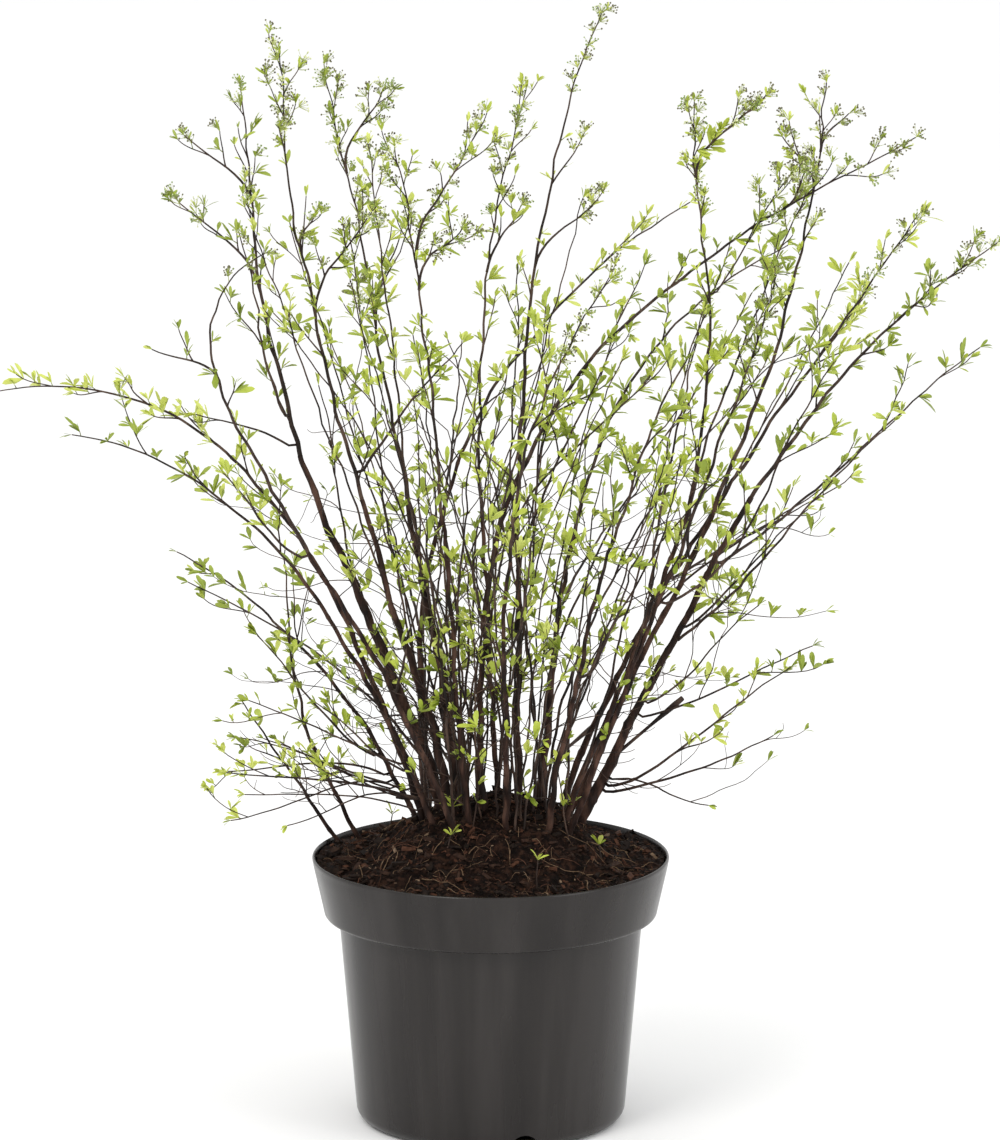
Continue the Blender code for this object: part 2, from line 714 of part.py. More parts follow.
def add_plant(collection, scratch):
    bark = add_material("stem_bark", (0.060, 0.028, 0.018), 0.75)
    rng = random.Random(SEED)
    limbs, sprays = lay_out()
    space = Space()
    for name, limb in limbs.items():
        space.add(name, limb)
    for name, axes in sprays.items():
        for axis in axes:
            space.add(name, axis)
    space.close()
    for name, limb in limbs.items():
        tube(name, limb.points, limb.radii, bark, collection)
    outline = triangle_outline(scratch)
    greens = [add_material(f"young_leaves_{index + 1}", colour, 0.55)
              for index, colour in enumerate(LEAF_GREENS)]
    total = 0
    for index, (name, axes) in enumerate(sprays.items()):
        short = grow_short_twigs(axes, name, space, rng)
        leaves = grow_leaves([*axes, *short], name, space, rng)
        frames = leaves + bud_frames(axes)
        join_spray(name, [*axes, *short], frames, greens[index % len(greens)], collection,
                   outline)
        total += len(leaves)
    print(f"{total} leaves")


def main():
    for thing in list(bpy.data.objects):
        bpy.data.objects.remove(thing, do_unlink=True)
    shrub = bpy.data.collections.new("spirea_shrub")
    cutters = bpy.data.collections.new("cutters")
    outlines = bpy.data.collections.new("outlines")
    for holder in (shrub, cutters, outlines):
        bpy.context.scene.collection.children.link(holder)
    add_pot(shrub, cutters)
    add_soil(shrub)
    add_plant(shrub, outlines)
    for guide in outlines.objects:
        guide.hide_render = True
    for cutter in cutters.objects:
        cutter.hide_render = True
        cutter.display_type = "WIRE"


main()
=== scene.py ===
"""Looks of the spirea shrub in its nursery pot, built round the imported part.

Metres, +Z up. The pot's axis is the Z axis and its flat underside is at z = 0.
Lengths in the constants and tables are in millimetres, as in the part's source, and
angles are in degrees.
"""
import json
import random
from collections import namedtuple
from math import cos, exp, hypot, pi, radians, sin, sqrt

import bmesh
import bpy
import numpy as np
from mathutils import Matrix, Vector, noise

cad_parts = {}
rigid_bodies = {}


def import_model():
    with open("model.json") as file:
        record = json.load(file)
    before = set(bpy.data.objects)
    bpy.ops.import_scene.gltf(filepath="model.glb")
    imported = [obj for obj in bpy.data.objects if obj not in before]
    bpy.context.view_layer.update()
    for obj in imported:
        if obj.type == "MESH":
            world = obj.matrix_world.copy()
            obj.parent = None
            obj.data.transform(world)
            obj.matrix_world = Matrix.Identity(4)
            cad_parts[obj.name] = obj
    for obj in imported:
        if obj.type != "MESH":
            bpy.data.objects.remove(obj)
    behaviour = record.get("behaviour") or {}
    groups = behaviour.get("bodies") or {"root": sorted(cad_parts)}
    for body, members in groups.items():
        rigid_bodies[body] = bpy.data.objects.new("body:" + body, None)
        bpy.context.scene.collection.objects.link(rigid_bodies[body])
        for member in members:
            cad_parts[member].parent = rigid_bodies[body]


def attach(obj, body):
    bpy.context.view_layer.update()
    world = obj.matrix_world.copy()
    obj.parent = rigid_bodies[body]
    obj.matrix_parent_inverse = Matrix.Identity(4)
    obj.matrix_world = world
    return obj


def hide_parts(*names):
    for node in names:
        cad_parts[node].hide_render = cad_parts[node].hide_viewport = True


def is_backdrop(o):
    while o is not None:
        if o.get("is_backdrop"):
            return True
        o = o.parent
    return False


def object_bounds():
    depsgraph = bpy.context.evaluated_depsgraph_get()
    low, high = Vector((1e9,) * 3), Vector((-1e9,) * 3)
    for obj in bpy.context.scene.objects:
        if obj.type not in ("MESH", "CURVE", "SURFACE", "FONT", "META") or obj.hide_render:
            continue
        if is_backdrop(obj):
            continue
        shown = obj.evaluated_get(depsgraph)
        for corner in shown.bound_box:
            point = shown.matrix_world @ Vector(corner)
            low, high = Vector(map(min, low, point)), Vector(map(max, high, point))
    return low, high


MM = 0.001
TURN = 2 * pi
GAP = 0.3  # clearance between neighbouring solids of the part

# Pot, as in the part
POT_HEIGHT = 212.0
RIM_RADIUS = 140.0
BAND_FOOT_RADIUS = 131.0
BAND_FOOT_HEIGHT = 169.0
LIP_ROUND = 2.5
LIP_DROP = 4.0
BODY_TOP_RADIUS = 119.0
BODY_TOP_HEIGHT = 163.5
STEP_THICK = 2.4
BODY_FOOT_RADIUS = 106.0
FOOT_ROUND = 12.0
WALL = 2.4
FLOOR = 3.0
POT_SIDES = 144
DRAIN_HOLES = 3
DRAIN_TURN = 14.5
DRAIN_RADIUS = 12.0
DRAIN_HEIGHT = 0.5
DRAIN_DEPTH = 36.0

# Potting soil
PART_SOIL_EDGE = 208.0
SOIL_EDGE_HEIGHT = 209.0
MOUND_HEIGHT = 240.0
MOUND_FLAT = 86.0
SOIL_RISE = 28.0  # how far the mound's shoulder stands over the soil at the rim
SHOULDER_IN = 50.0
SHOULDER_OUT = 118.0
HEAP_RISE = 22.0  # heap of crown and old roots among the stems
HEAP_RADIUS = 46.0
HEAP_PLACE = (8.0, 6.0)
SOIL_RINGS = 88
SOIL_SPOKES = 300
SOIL_LUMPS = 6.0  # height of its lumps
LUMP_SIZE = 21.0
INNER_RADIUS = 136.2  # inside of the pot at the soil's level
SKIRT_RADIUS = 130.0  # the compost's edge goes down to here, out of sight
SKIRT_HEIGHT = 192.0
CHIPS = 3600
CHIP_SIZES = (0.9, 1.8, 3.4)
CHIP_SIZE_SHARES = (10, 6, 2)
FIBRES = 260
FIBRE_LENGTHS = (9.0, 20.0, 48.0)
FIBRE_LENGTH_SHARES = (6, 4, 1)
FIBRE_STEPS = 8

# Stems and twigs
STUB = 4.0
TIP_RADIUS = 0.48
SLENDER = 0.88  # real stems over the part's plain ones
DEPTH_EVEN = 0.6
CURVE_STEPS = 120
SPROUT_SLANT = 0.7
SPROUT_LAST = 1.15
TWIG_BACK = 1.1
LONG_TWIG_RADIUS = 1.15
LEAF_STEP = 38.0
BARK_STEP = 3.0
BARK_SIDES = 12
BARK_DEPTH = 0.10
KNOT_GAP = 34.0
TWIG_STEP = 7.0
TWIG_SIDES = 5
WOBBLE = 2.7  # how far a stem wanders off its smooth line
WAVES = (170.0, 74.0, 31.0)  # and the lengths of its waves
KINK_GAP = 13.0  # distance between the small kinks at its buds
KINK = 0.55
SEED = 7
GOLDEN = 137.5  # from one bud to the next, round a branch
SUNK = 34.0  # a stem starts this deep under the part's mound
BOUGH_MOST = 1.7  # girth of a bough at most, over its carrier's radius
FORK_MOST = 1.25
FORK_LEAFY = 0.75
FORK_ROOT = (0.04, 0.34)  # share of the stem's length where a fork leaves it
FORK_END = (0.6, 0.92)  # and which its tip reaches up to
FORK_ASIDE = (28.0, 70.0)
FORK_GIRTH = (2.2, 3.8)
FORK_BARE = (0.48, 0.68)
FORK_ROOM = 20.0  # between its tip and the sides of the part's box
GROUND_SHOOTS = 34  # thin young stems that come up among the main ones
GROUND_LEAFY = 0.5
GROUND_FOOT = (64.0, 48.0)  # half the width and depth of the patch that they come from
GROUND_LEAN = 1.5  # how far they fan out, from where they stand
GROUND_STRAY = 76.0  # how far their tips stray from that
GROUND_HEIGHT = (110.0, 400.0)
GROUND_GIRTH = (1.9, 3.4)
GROUND_BARE = (0.4, 0.7)
SPRIGS = (  # little shoots on the compost: place, height and leaves
    (-32, -28, 14, 5), (-14, -43, 55, 4), (36, -108, 24, 3), (61, -37, 60, 3), (64, -14, 18, 6),
    (86, -38, 10, 6), (-34, -62, 10, 4), (-20, 60, 16, 4), (30, 78, 30, 4), (-80, 40, 14, 4),
)
SPRIG_LEAF = 13.5
STUBS = (  # cut ends of old wood: carrier, where on it, tip, radius there
    ("right_trunk", 0.09, (150, 0, 338), 2.7), ("left_rise", 0.02, (-74, -12, 262), 2.8),
    ("back_right_rise", 0.05, (84, 96, 296), 2.2), ("back_left_rise", 0.04, (-48, 92, 290), 2.4),
)

# Leafy shoots
SHOOT_GAP = 72.0
SHOOT_LENGTH = (28.0, 82.0)
SHOOT_END = 10.0
SHOOT_ROOM = 14.0
SHOOT_ANGLE = (22.0, 44.0)
SHOOT_LIFT = (0.05, 0.4)
SHOOT_RADIUS = 0.75
SHOOT_TIP = 0.4
TIP_ZONE = 120.0  # the top of a tall stem bears short shoots close together
TIP_GAP = 15.0
TIP_SHOOT = (12.0, 36.0)
LOW_GAP = 70.0  # fine crooked twigs off the bare wood, at any angle
LOW_LENGTH = (35.0, 105.0)
LOW_ANGLE = (40.0, 88.0)
LOW_TURN = (1.0, 4.0)
LOW_RADIUS = 0.5
LOW_TOP = 330.0  # none of them above this height over the mound
TANGLE_TOP = 95.0  # a tangle of bare ones below this height
TANGLE_GAP = 17.0
TANGLE_RIGHT = 2.0  # how much wider that is on the right
TANGLE_LENGTH = (25.0, 78.0)
TANGLE_DROP = 10.0  # none hangs lower than this under its root
OFFSHOOTS = 0.7  # share of these twigs that fork again
CROOKED = 3.2  # how much more they stray than other shoots

# Leaves
LEAF_LENGTH = 12.9
SMALL_LEAF = 7.4
LEAF_BREADTH = (0.24, 0.34)
LEAF_ROWS = ((0.0, 0.07), (0.26, 0.28), (0.62, 0.5), (0.88, 0.35))  # place along it, half width
LEAF_HEIGHTS = (250.0, 330.0, 400.0, 520.0, 800.0)
LEAF_SCALES = (0.84, 0.88, 1.02, 1.06, 0.86)  # size of the leaves at these heights
LEAF_WIDTHS = (1.1, 1.35, 1.15, 1.0, 1.0)  # and their width, over that of narrow ones
LEAF_BEND = (-0.10, 0.22)
LEAF_CUP = (0.05, 0.28)
OTHER_GREEN = 0.25  # share of leaves that take another tone than their spray's
INNER_LEAVES = ((5.0, 25.0), (0.55, 0.8))  # lean and size of a tuft's first two leaves
OUTER_LEAVES = ((24.0, 54.0), (0.8, 1.2))  # and of the others
END_LEAN = (6.0, 42.0)  # lean of the leaves at a twig's end
SPRIG_LEAN = (25.0, 75.0)
TUFT_GAP = (16.0, 34.5)  # distance between leaf tufts
LEVEL_GAPS = (1.15, 1.05, 0.62)  # over it on a stem, a bough and a short shoot
GAP_HEIGHTS = (350.0, 480.0, 620.0)  # and at these heights
GAP_SCALES = (1.6, 1.25, 0.76)
PATCHES = (  # where leaves stand wider apart, or closer: left, right, bottom, top, spacing
    (-150, -70, 390, 570, 2.2), (-70, 8, 330, 495, 3.2), (-70, 8, 495, 570, 1.6),
    (86, 164, 335, 500, 1.6), (164, 245, 415, 500, 4.5), (240, 325, 735, 820, 3.0),
    (-230, -70, 655, 735, 2.4), (-150, 85, 575, 655, 0.5), (164, 325, 575, 655, 0.65),
)
TUFT_COUNTS = (1, 1, 2, 4, 6, 7)  # how often a tuft has one to six leaves
SPUR_SLANT = (38.0, 62.0)
SPUR_LENGTH = (0.5, 4.5)
SPUR_RADIUS = (0.55, 0.35)  # of a spur, at its root and at its end
STALK_SIDES = 3
LOW_LEAF = 0.4  # a stem's first leaf tufts start at this share of its bare length
LOW_SHARE = 0.12  # and only this share of its nodes bears one
LEAF_COLOURS = {
    "leaf_fresh": ((0.38, 0.46, 0.045), (0.51, 0.58, 0.09)),
    "leaf_mid": ((0.30, 0.38, 0.03), (0.41, 0.49, 0.065)),
    "leaf_deep": ((0.20, 0.27, 0.02), (0.30, 0.37, 0.045)),
    "leaf_young": ((0.48, 0.54, 0.08), (0.62, 0.68, 0.17)),
}

# Flower buds
FLOWER_HEIGHT = 700.0  # tips above this height bear flower buds
FLOWER_LENGTH = ((50.0, 105.0), (30.0, 85.0), (12.0, 34.0))
FLOWER_SHOOTS = 0.6
UMBEL_GAP = (7.0, 12.0)
UMBEL_SLANT = (30.0, 60.0)
UMBEL_STEM = (1.0, 4.5)
UMBEL_RADIUS = (0.35, 0.3)
UMBEL_LEAN = (25.0, 65.0)  # lean of its leaves
UMBEL_BUDS = (9, 15)
STALK_LENGTH = (4.5, 9.5)
STALK_RADIUS = (0.22, 0.17)
STALK_LEAN = (5.0, 62.0)
BUD_RADIUS = (0.6, 0.95)
BUD_ROOM = 1.0
BUD_SHARES = (6, 3, 2)
BUD_COLOURS = {
    "bud_brown": ((0.07, 0.06, 0.03), (0.16, 0.15, 0.06)),
    "bud_green": ((0.16, 0.24, 0.05), (0.26, 0.34, 0.08)),
    "bud_cream": ((0.55, 0.60, 0.30), (0.70, 0.72, 0.46)),
}

# Bits in the compost
CHIP_SHARES = (12, 9, 4, 1)
CHIP_COLOURS = {
    "chip_dark": ((0.007, 0.004, 0.003), (0.016, 0.009, 0.006)),
    "chip_brown": ((0.018, 0.009, 0.006), (0.040, 0.020, 0.013)),
    "chip_red": ((0.040, 0.016, 0.009), (0.080, 0.034, 0.019)),
    "chip_tan": ((0.11, 0.070, 0.042), (0.22, 0.15, 0.10)),
}
FIBRE_COLOURS = {
    "fibre_tan": ((0.10, 0.060, 0.035), (0.20, 0.13, 0.08)),
    "fibre_red": ((0.06, 0.026, 0.016), (0.11, 0.052, 0.032)),
}

# Looks: tones, scale of their noise, roughness, height and scale of the bump, stretch, specular
LOOKS = {
    "stalk_green": (((0.30, 0.36, 0.09), (0.45, 0.50, 0.16)), 90.0, (0.5, 0.7), (0.00004, 2000.0)),
    "spur_green": (((0.10, 0.10, 0.03), (0.17, 0.22, 0.05)), 90.0, (0.5, 0.7), (0.00004, 2000.0)),
    # bark_old and bark_young: the lightest of their three tones is partly paler bark and partly painted
    # highlight, raised so that the noise scatters light patches like lit bark over the stems
    "bark_old": (((0.008, 0.004, 0.003), (0.027, 0.012, 0.008), (0.082, 0.042, 0.029)), 130.0,
                 (0.55, 0.85), (0.0006, 420.0), (1, 1, 0.28), 0.2),
    "bark_young": (((0.010, 0.006, 0.0045), (0.028, 0.0155, 0.0115), (0.082, 0.050, 0.036)), 90.0,
                   (0.5, 0.75), (0.0002, 700.0), (1, 1, 0.3), 0.22),
    "compost": (((0.0028, 0.0014, 0.001), (0.009, 0.0042, 0.0028), (0.028, 0.013, 0.008)), 190.0,
                (0.85, 1.0), (0.003, 420.0), (1, 1, 1), 0.1),
    "pot_moulded": (((0.012, 0.0099, 0.0092), (0.017, 0.0144, 0.0134), (0.024, 0.0208, 0.0196)), 30.0,
                    (0.20, 0.30), (0.00001, 30.0), (1, 1, 0.03), 0.3),
    "studio_floor": (((0.915, 0.915, 0.915), (0.92, 0.92, 0.92)), 3.0, (0.9, 0.95), None,
                     (1, 1, 1), 0.1),
}
LEAF_LOOK = (55.0, (0.42, 0.62), (0.00012, 700.0))
BUD_LOOK = (400.0, (0.45, 0.65), (0.0001, 1500.0))
CHIP_LOOK = (260.0, (0.75, 0.95), (0.0004, 900.0), (1, 1, 1), 0.15)
RAMP_ENDS = (0.36, 0.64)
WORN = {"From_Min": 0.3, "From_Max": 0.7}  # range of the noise that sets the roughness

# Camera and light
CAMERA_LENS = 243.4
CAMERA_PITCH = 11.7
CAMERA_TARGET = (0.0073, 0.0, 0.44)
CAMERA_DISTANCE = 6.0
WORLD_LIGHT = 1.08
KEY_WATTS = 60.0
FILL_WATTS = 25.0

# One stem from the soil, a bare limb that carries a leafy spray. foot is (x, y) on the soil and
# tip is (x, y, z). run is how far sideways, along x, the stem's slant at its foot and at its tip
# would carry it over its whole height, bow is how far its middle swings along x, and rise is the
# share of the climb at the foot and at the tip. girth is the diameter above the flare, bare is
# the share of the length below the leaves, and twigs are the tips of the longest side twigs.
# leafy is how many leaves it has over others, forks is how many thinner stems fork off it, and
# butt is how much thicker its foot is, over its radius, and how far up.
Stem = namedtuple("Stem", "name foot tip run bow rise girth bare twigs leafy forks butt",
                  defaults=(0.0, (1.0, 1.0), 6.0, 0.45, (), 1.0, 1, (0.1, 50.0)))

# A bough on a stem's side: where on its carrier it starts, its tip, and its rise there.
Side = namedtuple("Side", "name carrier at tip rise girth bare leafy",
                  defaults=(1.0, 3.0, 0.3, 1.0))

STEMS = (
    Stem("left_trunk", (-40, 28), (-194, 60, 812), run=(-125, -62), bow=-24, girth=7.6, bare=0.5,
         twigs=((-238, 62, 772), (-246, 96, 718)), leafy=0.85, butt=(0.6, 240.0)),
    Stem("left_rise", (-28, -6), (-162, -50, 852), run=(-160, -10), girth=5.6, bare=0.42,
         twigs=((-134, -66, 728), (-86, -100, 742)), forks=2, butt=(0.6, 200.0)),
    Stem("back_left_rise", (-22, 46), (-130, 170, 802), run=(-80, -150), bow=-6, girth=5.2,
         twigs=((-86, 132, 796), (-72, 196, 676)), forks=2, butt=(1.9, 130.0)),
    Stem("front_left_rise", (-18, -34), (-72, -150, 796), run=(-50, -100), girth=5.2,
         twigs=((-8, -110, 800), (-20, -190, 740)), forks=2),
    Stem("back_rise", (4, 40), (28, 120, 800), run=(-10, 190), girth=5.0,
         twigs=((26, 146, 704),), leafy=0.65),
    Stem("tall_leader", (22, 8), (85, 0, 876), run=(10, 240), girth=6.4, bare=0.42,
         twigs=((80, 32, 722),), leafy=0.6, forks=2),
    Stem("crossing", (-52, 60), (158, 250, 690), run=(-60, 420), bow=-14, rise=(1.3, 0.45),
         girth=5.2, bare=0.5, butt=(1.0, 90.0)),
    Stem("right_reach", (-4, -14), (324, -80, 792), run=(-60, 600), bow=-20, rise=(1.6, 0.6),
         bare=0.42, twigs=((238, -96, 768),), leafy=1.3),
    Stem("front_rise", (14, -42), (90, -280, 716), run=(0, 300), girth=5.0),
    Stem("back_right_rise", (38, 42), (238, 220, 660), run=(60, 520), rise=(1.5, 0.5), girth=5.4,
         leafy=1.2, butt=(0.9, 80.0)),
    Stem("front_right_rise", (46, -40), (162, -270, 690), run=(70, 200), girth=5.2, leafy=1.3),
    Stem("right_rise", (60, -14), (152, -100, 822), run=(160, -20), bow=30, girth=5.8, bare=0.48,
         twigs=((208, -122, 830),), leafy=1.3),
    Stem("right_leader", (64, 20), (260, 60, 814), run=(220, 50), bow=10, girth=6.2,
         twigs=((280, 84, 786), (226, 30, 776)), leafy=1.2),
    Stem("front_right_outer", (66, -32), (216, -200, 706), run=(150, 120), girth=5.4, leafy=1.4),
    Stem("back_right_outer", (58, 46), (338, 120, 702), run=(150, 330), twigs=((296, 160, 630),),
         leafy=1.1),
    Stem("right_trunk", (74, 12), (392, -20, 702), run=(260, 540), rise=(1.05, 0.8), girth=7.6,
         bare=0.5, twigs=((330, -46, 662),), leafy=1.1, forks=0, butt=(0.4, 90.0)),
    Stem("left_arch", (-56, 8), (-384, 20, 578), run=(-180, -560), rise=(1.7, -0.3), girth=5.6,
         bare=0.55, leafy=1.8, forks=0),
    Stem("left_low_arch", (-46, -22), (-318, -130, 572), run=(-180, -420), rise=(1.4, 0.3),
         girth=5.2, bare=0.52, leafy=1.2, forks=0),
    Stem("front_left_outer", (-30, -44), (-166, -220, 726), run=(-180, 400), rise=(1.3, 0.5),
         girth=5.4, twigs=((-254, -200, 650),), leafy=0.45, forks=0),
    Stem("low_left_reach", (-64, 34), (-252, 150, 424), run=(-120, -280), rise=(1.2, 0.6),
         girth=4.2, bare=0.5, leafy=0.9, forks=0),
    Stem("left_cane", (-105, 62), (-160, 80, 440), run=(-130, 20), girth=3.8, bare=0.5, leafy=0.6,
         forks=0),
    Stem("left_short_cane", (-121, 56), (-196, 20, 332), run=(-80, -70), girth=3.4, bare=0.35,
         leafy=0.7, forks=0),
)

SIDES = (  # side sprays, as in the part
    Side("right_arm", "right_trunk", 0.40, (384, 80, 602)),
    Side("right_low_arm", "right_trunk", 0.28, (304, -160, 588), bare=0.35),
    Side("back_right_arm", "back_right_outer", 0.36, (260, 200, 456)),
    Side("front_right_arm", "front_right_outer", 0.40, (262, -150, 636)),
    Side("low_left_fan", "left_low_arch", 0.05, (-206, -60, 292), leafy=1.4),
    Side("low_right_fan", "right_trunk", 0.05, (232, -60, 376), leafy=1.3),
    Side("front_left_fill", "front_left_outer", 0.22, (-52, -200, 466), bare=0.35, leafy=0.7),
    Side("front_fill", "front_rise", 0.30, (36, -250, 536), leafy=0.7),
    Side("front_right_fill", "front_right_rise", 0.28, (122, -230, 528), leafy=0.7),
    Side("back_left_fill", "crossing", 0.24, (-88, 240, 450), leafy=0.7),
    Side("back_fill", "crossing", 0.42, (-24, 290, 570), leafy=0.7),
    Side("back_right_fill", "back_right_rise", 0.30, (132, 260, 470)),
    Side("back_mid_fill", "back_rise", 0.25, (24, 290, 470), leafy=0.7),
)

FINE_SIDES = (  # finer boughs that the part doesn't have
    Side("inner_left_bough", "left_trunk", 0.56, (-196, 40, 700), bare=0.2, leafy=0.8),
    Side("inner_left_twig", "left_trunk", 0.52, (-228, 20, 560), girth=2.4, leafy=0.7),
    Side("leader_fork", "left_rise", 0.46, (-20, -60, 630), leafy=0.7),
    Side("centre_bough", "tall_leader", 0.34, (96, -110, 640), bare=0.4, leafy=0.7),
    Side("right_inner_bough", "right_rise", 0.32, (172, 80, 650), bare=0.4),
    Side("right_upper_twig", "right_rise", 0.74, (228, -60, 760), girth=2.6, bare=0.2),
    Side("leader_side_bough", "right_leader", 0.36, (256, 150, 730), bare=0.4),
    Side("right_low_twig", "right_trunk", 0.3, (244, -60, 500), girth=2.6),
    Side("outer_left_twig", "front_left_outer", 0.45, (-204, -120, 540), girth=2.6),
    Side("fan_upper_left", "low_left_reach", 0.16, (-184, 60, 375), girth=2.6, leafy=1.6),
    Side("fan_middle_left", "left_low_arch", 0.10, (-190, 0, 336), girth=2.4, bare=0.25, leafy=1.6),
    Side("fan_inner_left", "left_low_arch", 0.12, (-135, -80, 352), girth=2.4, bare=0.4, leafy=1.5),
    Side("fan_outer_left", "low_left_reach", 0.10, (-208, -30, 286), girth=2.4, leafy=1.6),
    Side("fan_back_left", "low_left_reach", 0.08, (-179, 40, 296), girth=2.4, bare=0.25, leafy=1.6),
    Side("fan_lowest_left", "left_arch", 0.04, (-202, -60, 254), rise=0.2, girth=2.2, bare=0.8),
    Side("arching_twig", "right_trunk", 0.04, (220, -40, 317), rise=1.6, bare=0.95),
    Side("hanging_twig", "right_trunk", 0.06, (166, -50, 264), rise=-1.0, girth=2.2, bare=0.95),
    Side("low_leafy_twig", "right_trunk", 0.16, (250, -30, 386), rise=1.2, girth=2.4, bare=0.5,
         leafy=2.0),
    Side("low_upper_twig", "right_trunk", 0.18, (207, -20, 416), girth=2.2, bare=0.6, leafy=1.8),
    Side("tangle_upper_left", "low_left_reach", 0.06, (-200, 10, 304), rise=0.5, girth=1.9, bare=0.95),
    Side("tangle_lower_left", "left_low_arch", 0.03, (-190, -40, 270), rise=0.3, girth=1.9, bare=0.95),
    Side("tangle_near_left", "left_arch", 0.03, (-158, -70, 252), rise=0.1, girth=1.9, bare=0.95),
    Side("tangle_inner_left", "low_left_reach", 0.04, (-150, 30, 284), rise=0.4, girth=1.9, bare=0.95),
)

rng = random.Random(SEED)  # every random draw comes from here, in a fixed order
between = rng.uniform
UP = np.array((0.0, 0.0, 1.0))


def any_green():
    """A slot for one of the leaves' tones."""
    return rng.randrange(len(LEAF_COLOURS))


def unit(vector):
    return vector / np.linalg.norm(vector)


def interp(value, places, values):
    return float(np.interp(value, places, values))


def square_to(along, angle):
    """A unit vector square to a direction, turned by an angle round it."""
    side = unit(np.cross(along, (0.0, 0.0, 1.0) if abs(along[2]) < 0.95 else (1.0, 0.0, 0.0)))
    return side * cos(angle) + np.cross(along, side) * sin(angle)


def lean(direction, low, high):
    """A direction that leans away from the given one, any way round, by low to high degrees."""
    angle = radians(between(low, high))
    side = square_to(direction, between(0.0, TURN))
    return unit(direction * cos(angle) + side * sin(angle))


def arc_lengths(curve):
    steps = np.linalg.norm(np.diff(curve, axis=0), axis=1)
    return np.concatenate(([0.0], np.cumsum(steps)))


def point_at(length, lengths, points):
    """The point, or points, at a length along a line of points."""
    return np.stack([np.interp(length, lengths, points[:, axis]) for axis in range(3)], axis=-1)


def even_points(curve, step):
    """The curve cut into straight pieces of about one step each."""
    lengths = arc_lengths(curve)
    count = max(2, int(round(lengths[-1] / step)) + 1)
    return point_at(np.linspace(0.0, lengths[-1], count), lengths, curve)


def shares(steps):
    """Even shares from 0 to 1, as a column."""
    return np.linspace(0.0, 1.0, steps + 1)[:, None]


def hermite(start, end, start_slope, end_slope, steps=CURVE_STEPS):
    """Points of the cubic from start to end with the given slopes there."""
    t = shares(steps)
    return (start * (2 * t**3 - 3 * t**2 + 1) + start_slope * (t**3 - 2 * t**2 + t)
            + end * (3 * t**2 - 2 * t**3) + end_slope * (t**3 - t**2))


def wander(points, share=1.0):
    """A line that strays a little to and fro off the given one, as real wood does."""
    lengths = arc_lengths(points)
    shifted = points.copy()
    for wave in WAVES:
        for axis in (0, 1):
            phase = between(0.0, TURN)
            size = WOBBLE * share * between(0.5, 1.0) * (wave / WAVES[0])**0.7
            shifted[:, axis] += size * (np.sin(lengths * TURN / wave + phase) - sin(phase)) / 2
    return shifted + kinks(lengths)


def kinks(lengths):
    """Small sideways steps to and fro, one at each bud."""
    count = int(lengths[-1] / KINK_GAP) + 3
    places = np.cumsum([KINK_GAP * between(0.7, 1.3) for _ in range(count)]) - KINK_GAP
    steps = np.array([[rng.gauss(0.0, KINK), rng.gauss(0.0, KINK), 0.0] for _ in range(count)])
    steps[0] = 0.0
    return point_at(lengths, places, steps)


def stem_curve(stem):
    """A stem's whole centre line, from the soil to the tip of its spray."""
    stands = MOUND_HEIGHT if hypot(*stem.foot) <= MOUND_FLAT else PART_SOIL_EDGE
    foot = np.array((*stem.foot, stands + GAP))
    start = np.array((*stem.foot, stands + GAP + STUB))
    tip = np.array(stem.tip)
    climb = tip[2] - start[2]
    slopes = [np.array((run, 0.0, climb * rise)) for run, rise in zip(stem.run, stem.rise)]
    curve = hermite(start, tip, *slopes)
    t = shares(CURVE_STEPS)[:, 0]
    curve[:, 0] += stem.bow * 16 * t**2 * (1 - t)**2
    curve[:, 1] = start[1] + (tip[1] - start[1]) * (DEPTH_EVEN * t + (1 - DEPTH_EVEN) * t**2)
    return np.vstack([foot, curve])


def side_curve(side, root, along, carrier_radius):
    """A bough's centre line, square off its carrier's bark at first."""
    outward = side.tip - root
    outward = unit(outward - along * outward.dot(along))
    start = root + outward * (carrier_radius + GAP)
    bend = start + outward * STUB
    reach = side.tip - bend
    first = (outward + along) * SPROUT_SLANT * np.linalg.norm(reach)
    last = reach * np.array([SPROUT_LAST, SPROUT_LAST, side.rise])
    return np.vstack([root, start, hermite(bend, np.array(side.tip), first, last)])


def twig_curve(main, tip):
    """A long side twig from a spray's main stem to a named tip."""
    tip = np.array(tip)
    distance = np.linalg.norm(main - tip, axis=1)
    nearest = int(np.argmin(distance))
    lengths = arc_lengths(main)
    back = lengths[nearest] - TWIG_BACK * distance[nearest]
    index = min(max(1, int(np.searchsorted(lengths, back))), len(main) - 2)
    root = main[index]
    along = unit(main[index + 1] - main[index - 1])
    reach = tip - root
    return hermite(root, tip, along * np.linalg.norm(reach), reach)


class Branch:
    """A stem, bough or twig: its line, its radii, and where its leaves and flowers start."""

    def __init__(self, points, radii, bare=0.0, level=0, green=0, leafy=1.0):
        self.points = points
        self.radii = radii
        self.lengths = arc_lengths(points)
        self.length = self.lengths[-1]
        self.bare = bare
        self.level = level
        self.green = green
        self.leafy = leafy

    def at(self, length):
        """Place, direction and radius at a length along the branch."""
        place = point_at(length, self.lengths, self.points)
        index = int(np.searchsorted(self.lengths, length, side="right"))
        index = min(max(1, index), len(self.points) - 1)
        along = unit(self.points[index] - self.points[index - 1])
        return place, along, interp(length, self.lengths, self.radii)

    def spot(self, length, turn):
        """The same, with the way out of the branch that a turn round it gives."""
        place, along, radius = self.at(length)
        return place, along, square_to(along, turn), radius

    def part(self, start, end):
        """The run of the branch between two lengths, as points and radii."""
        inside = (self.lengths > start + 0.01) & (self.lengths < end - 0.01)
        lengths = np.concatenate(([start], self.lengths[inside], [end]))
        return point_at(lengths, self.lengths, self.points), np.interp(lengths, self.lengths, self.radii)


def stem_radius(girth, share):
    return TIP_RADIUS + (SLENDER * girth / 2 - TIP_RADIUS) * (1 - share)


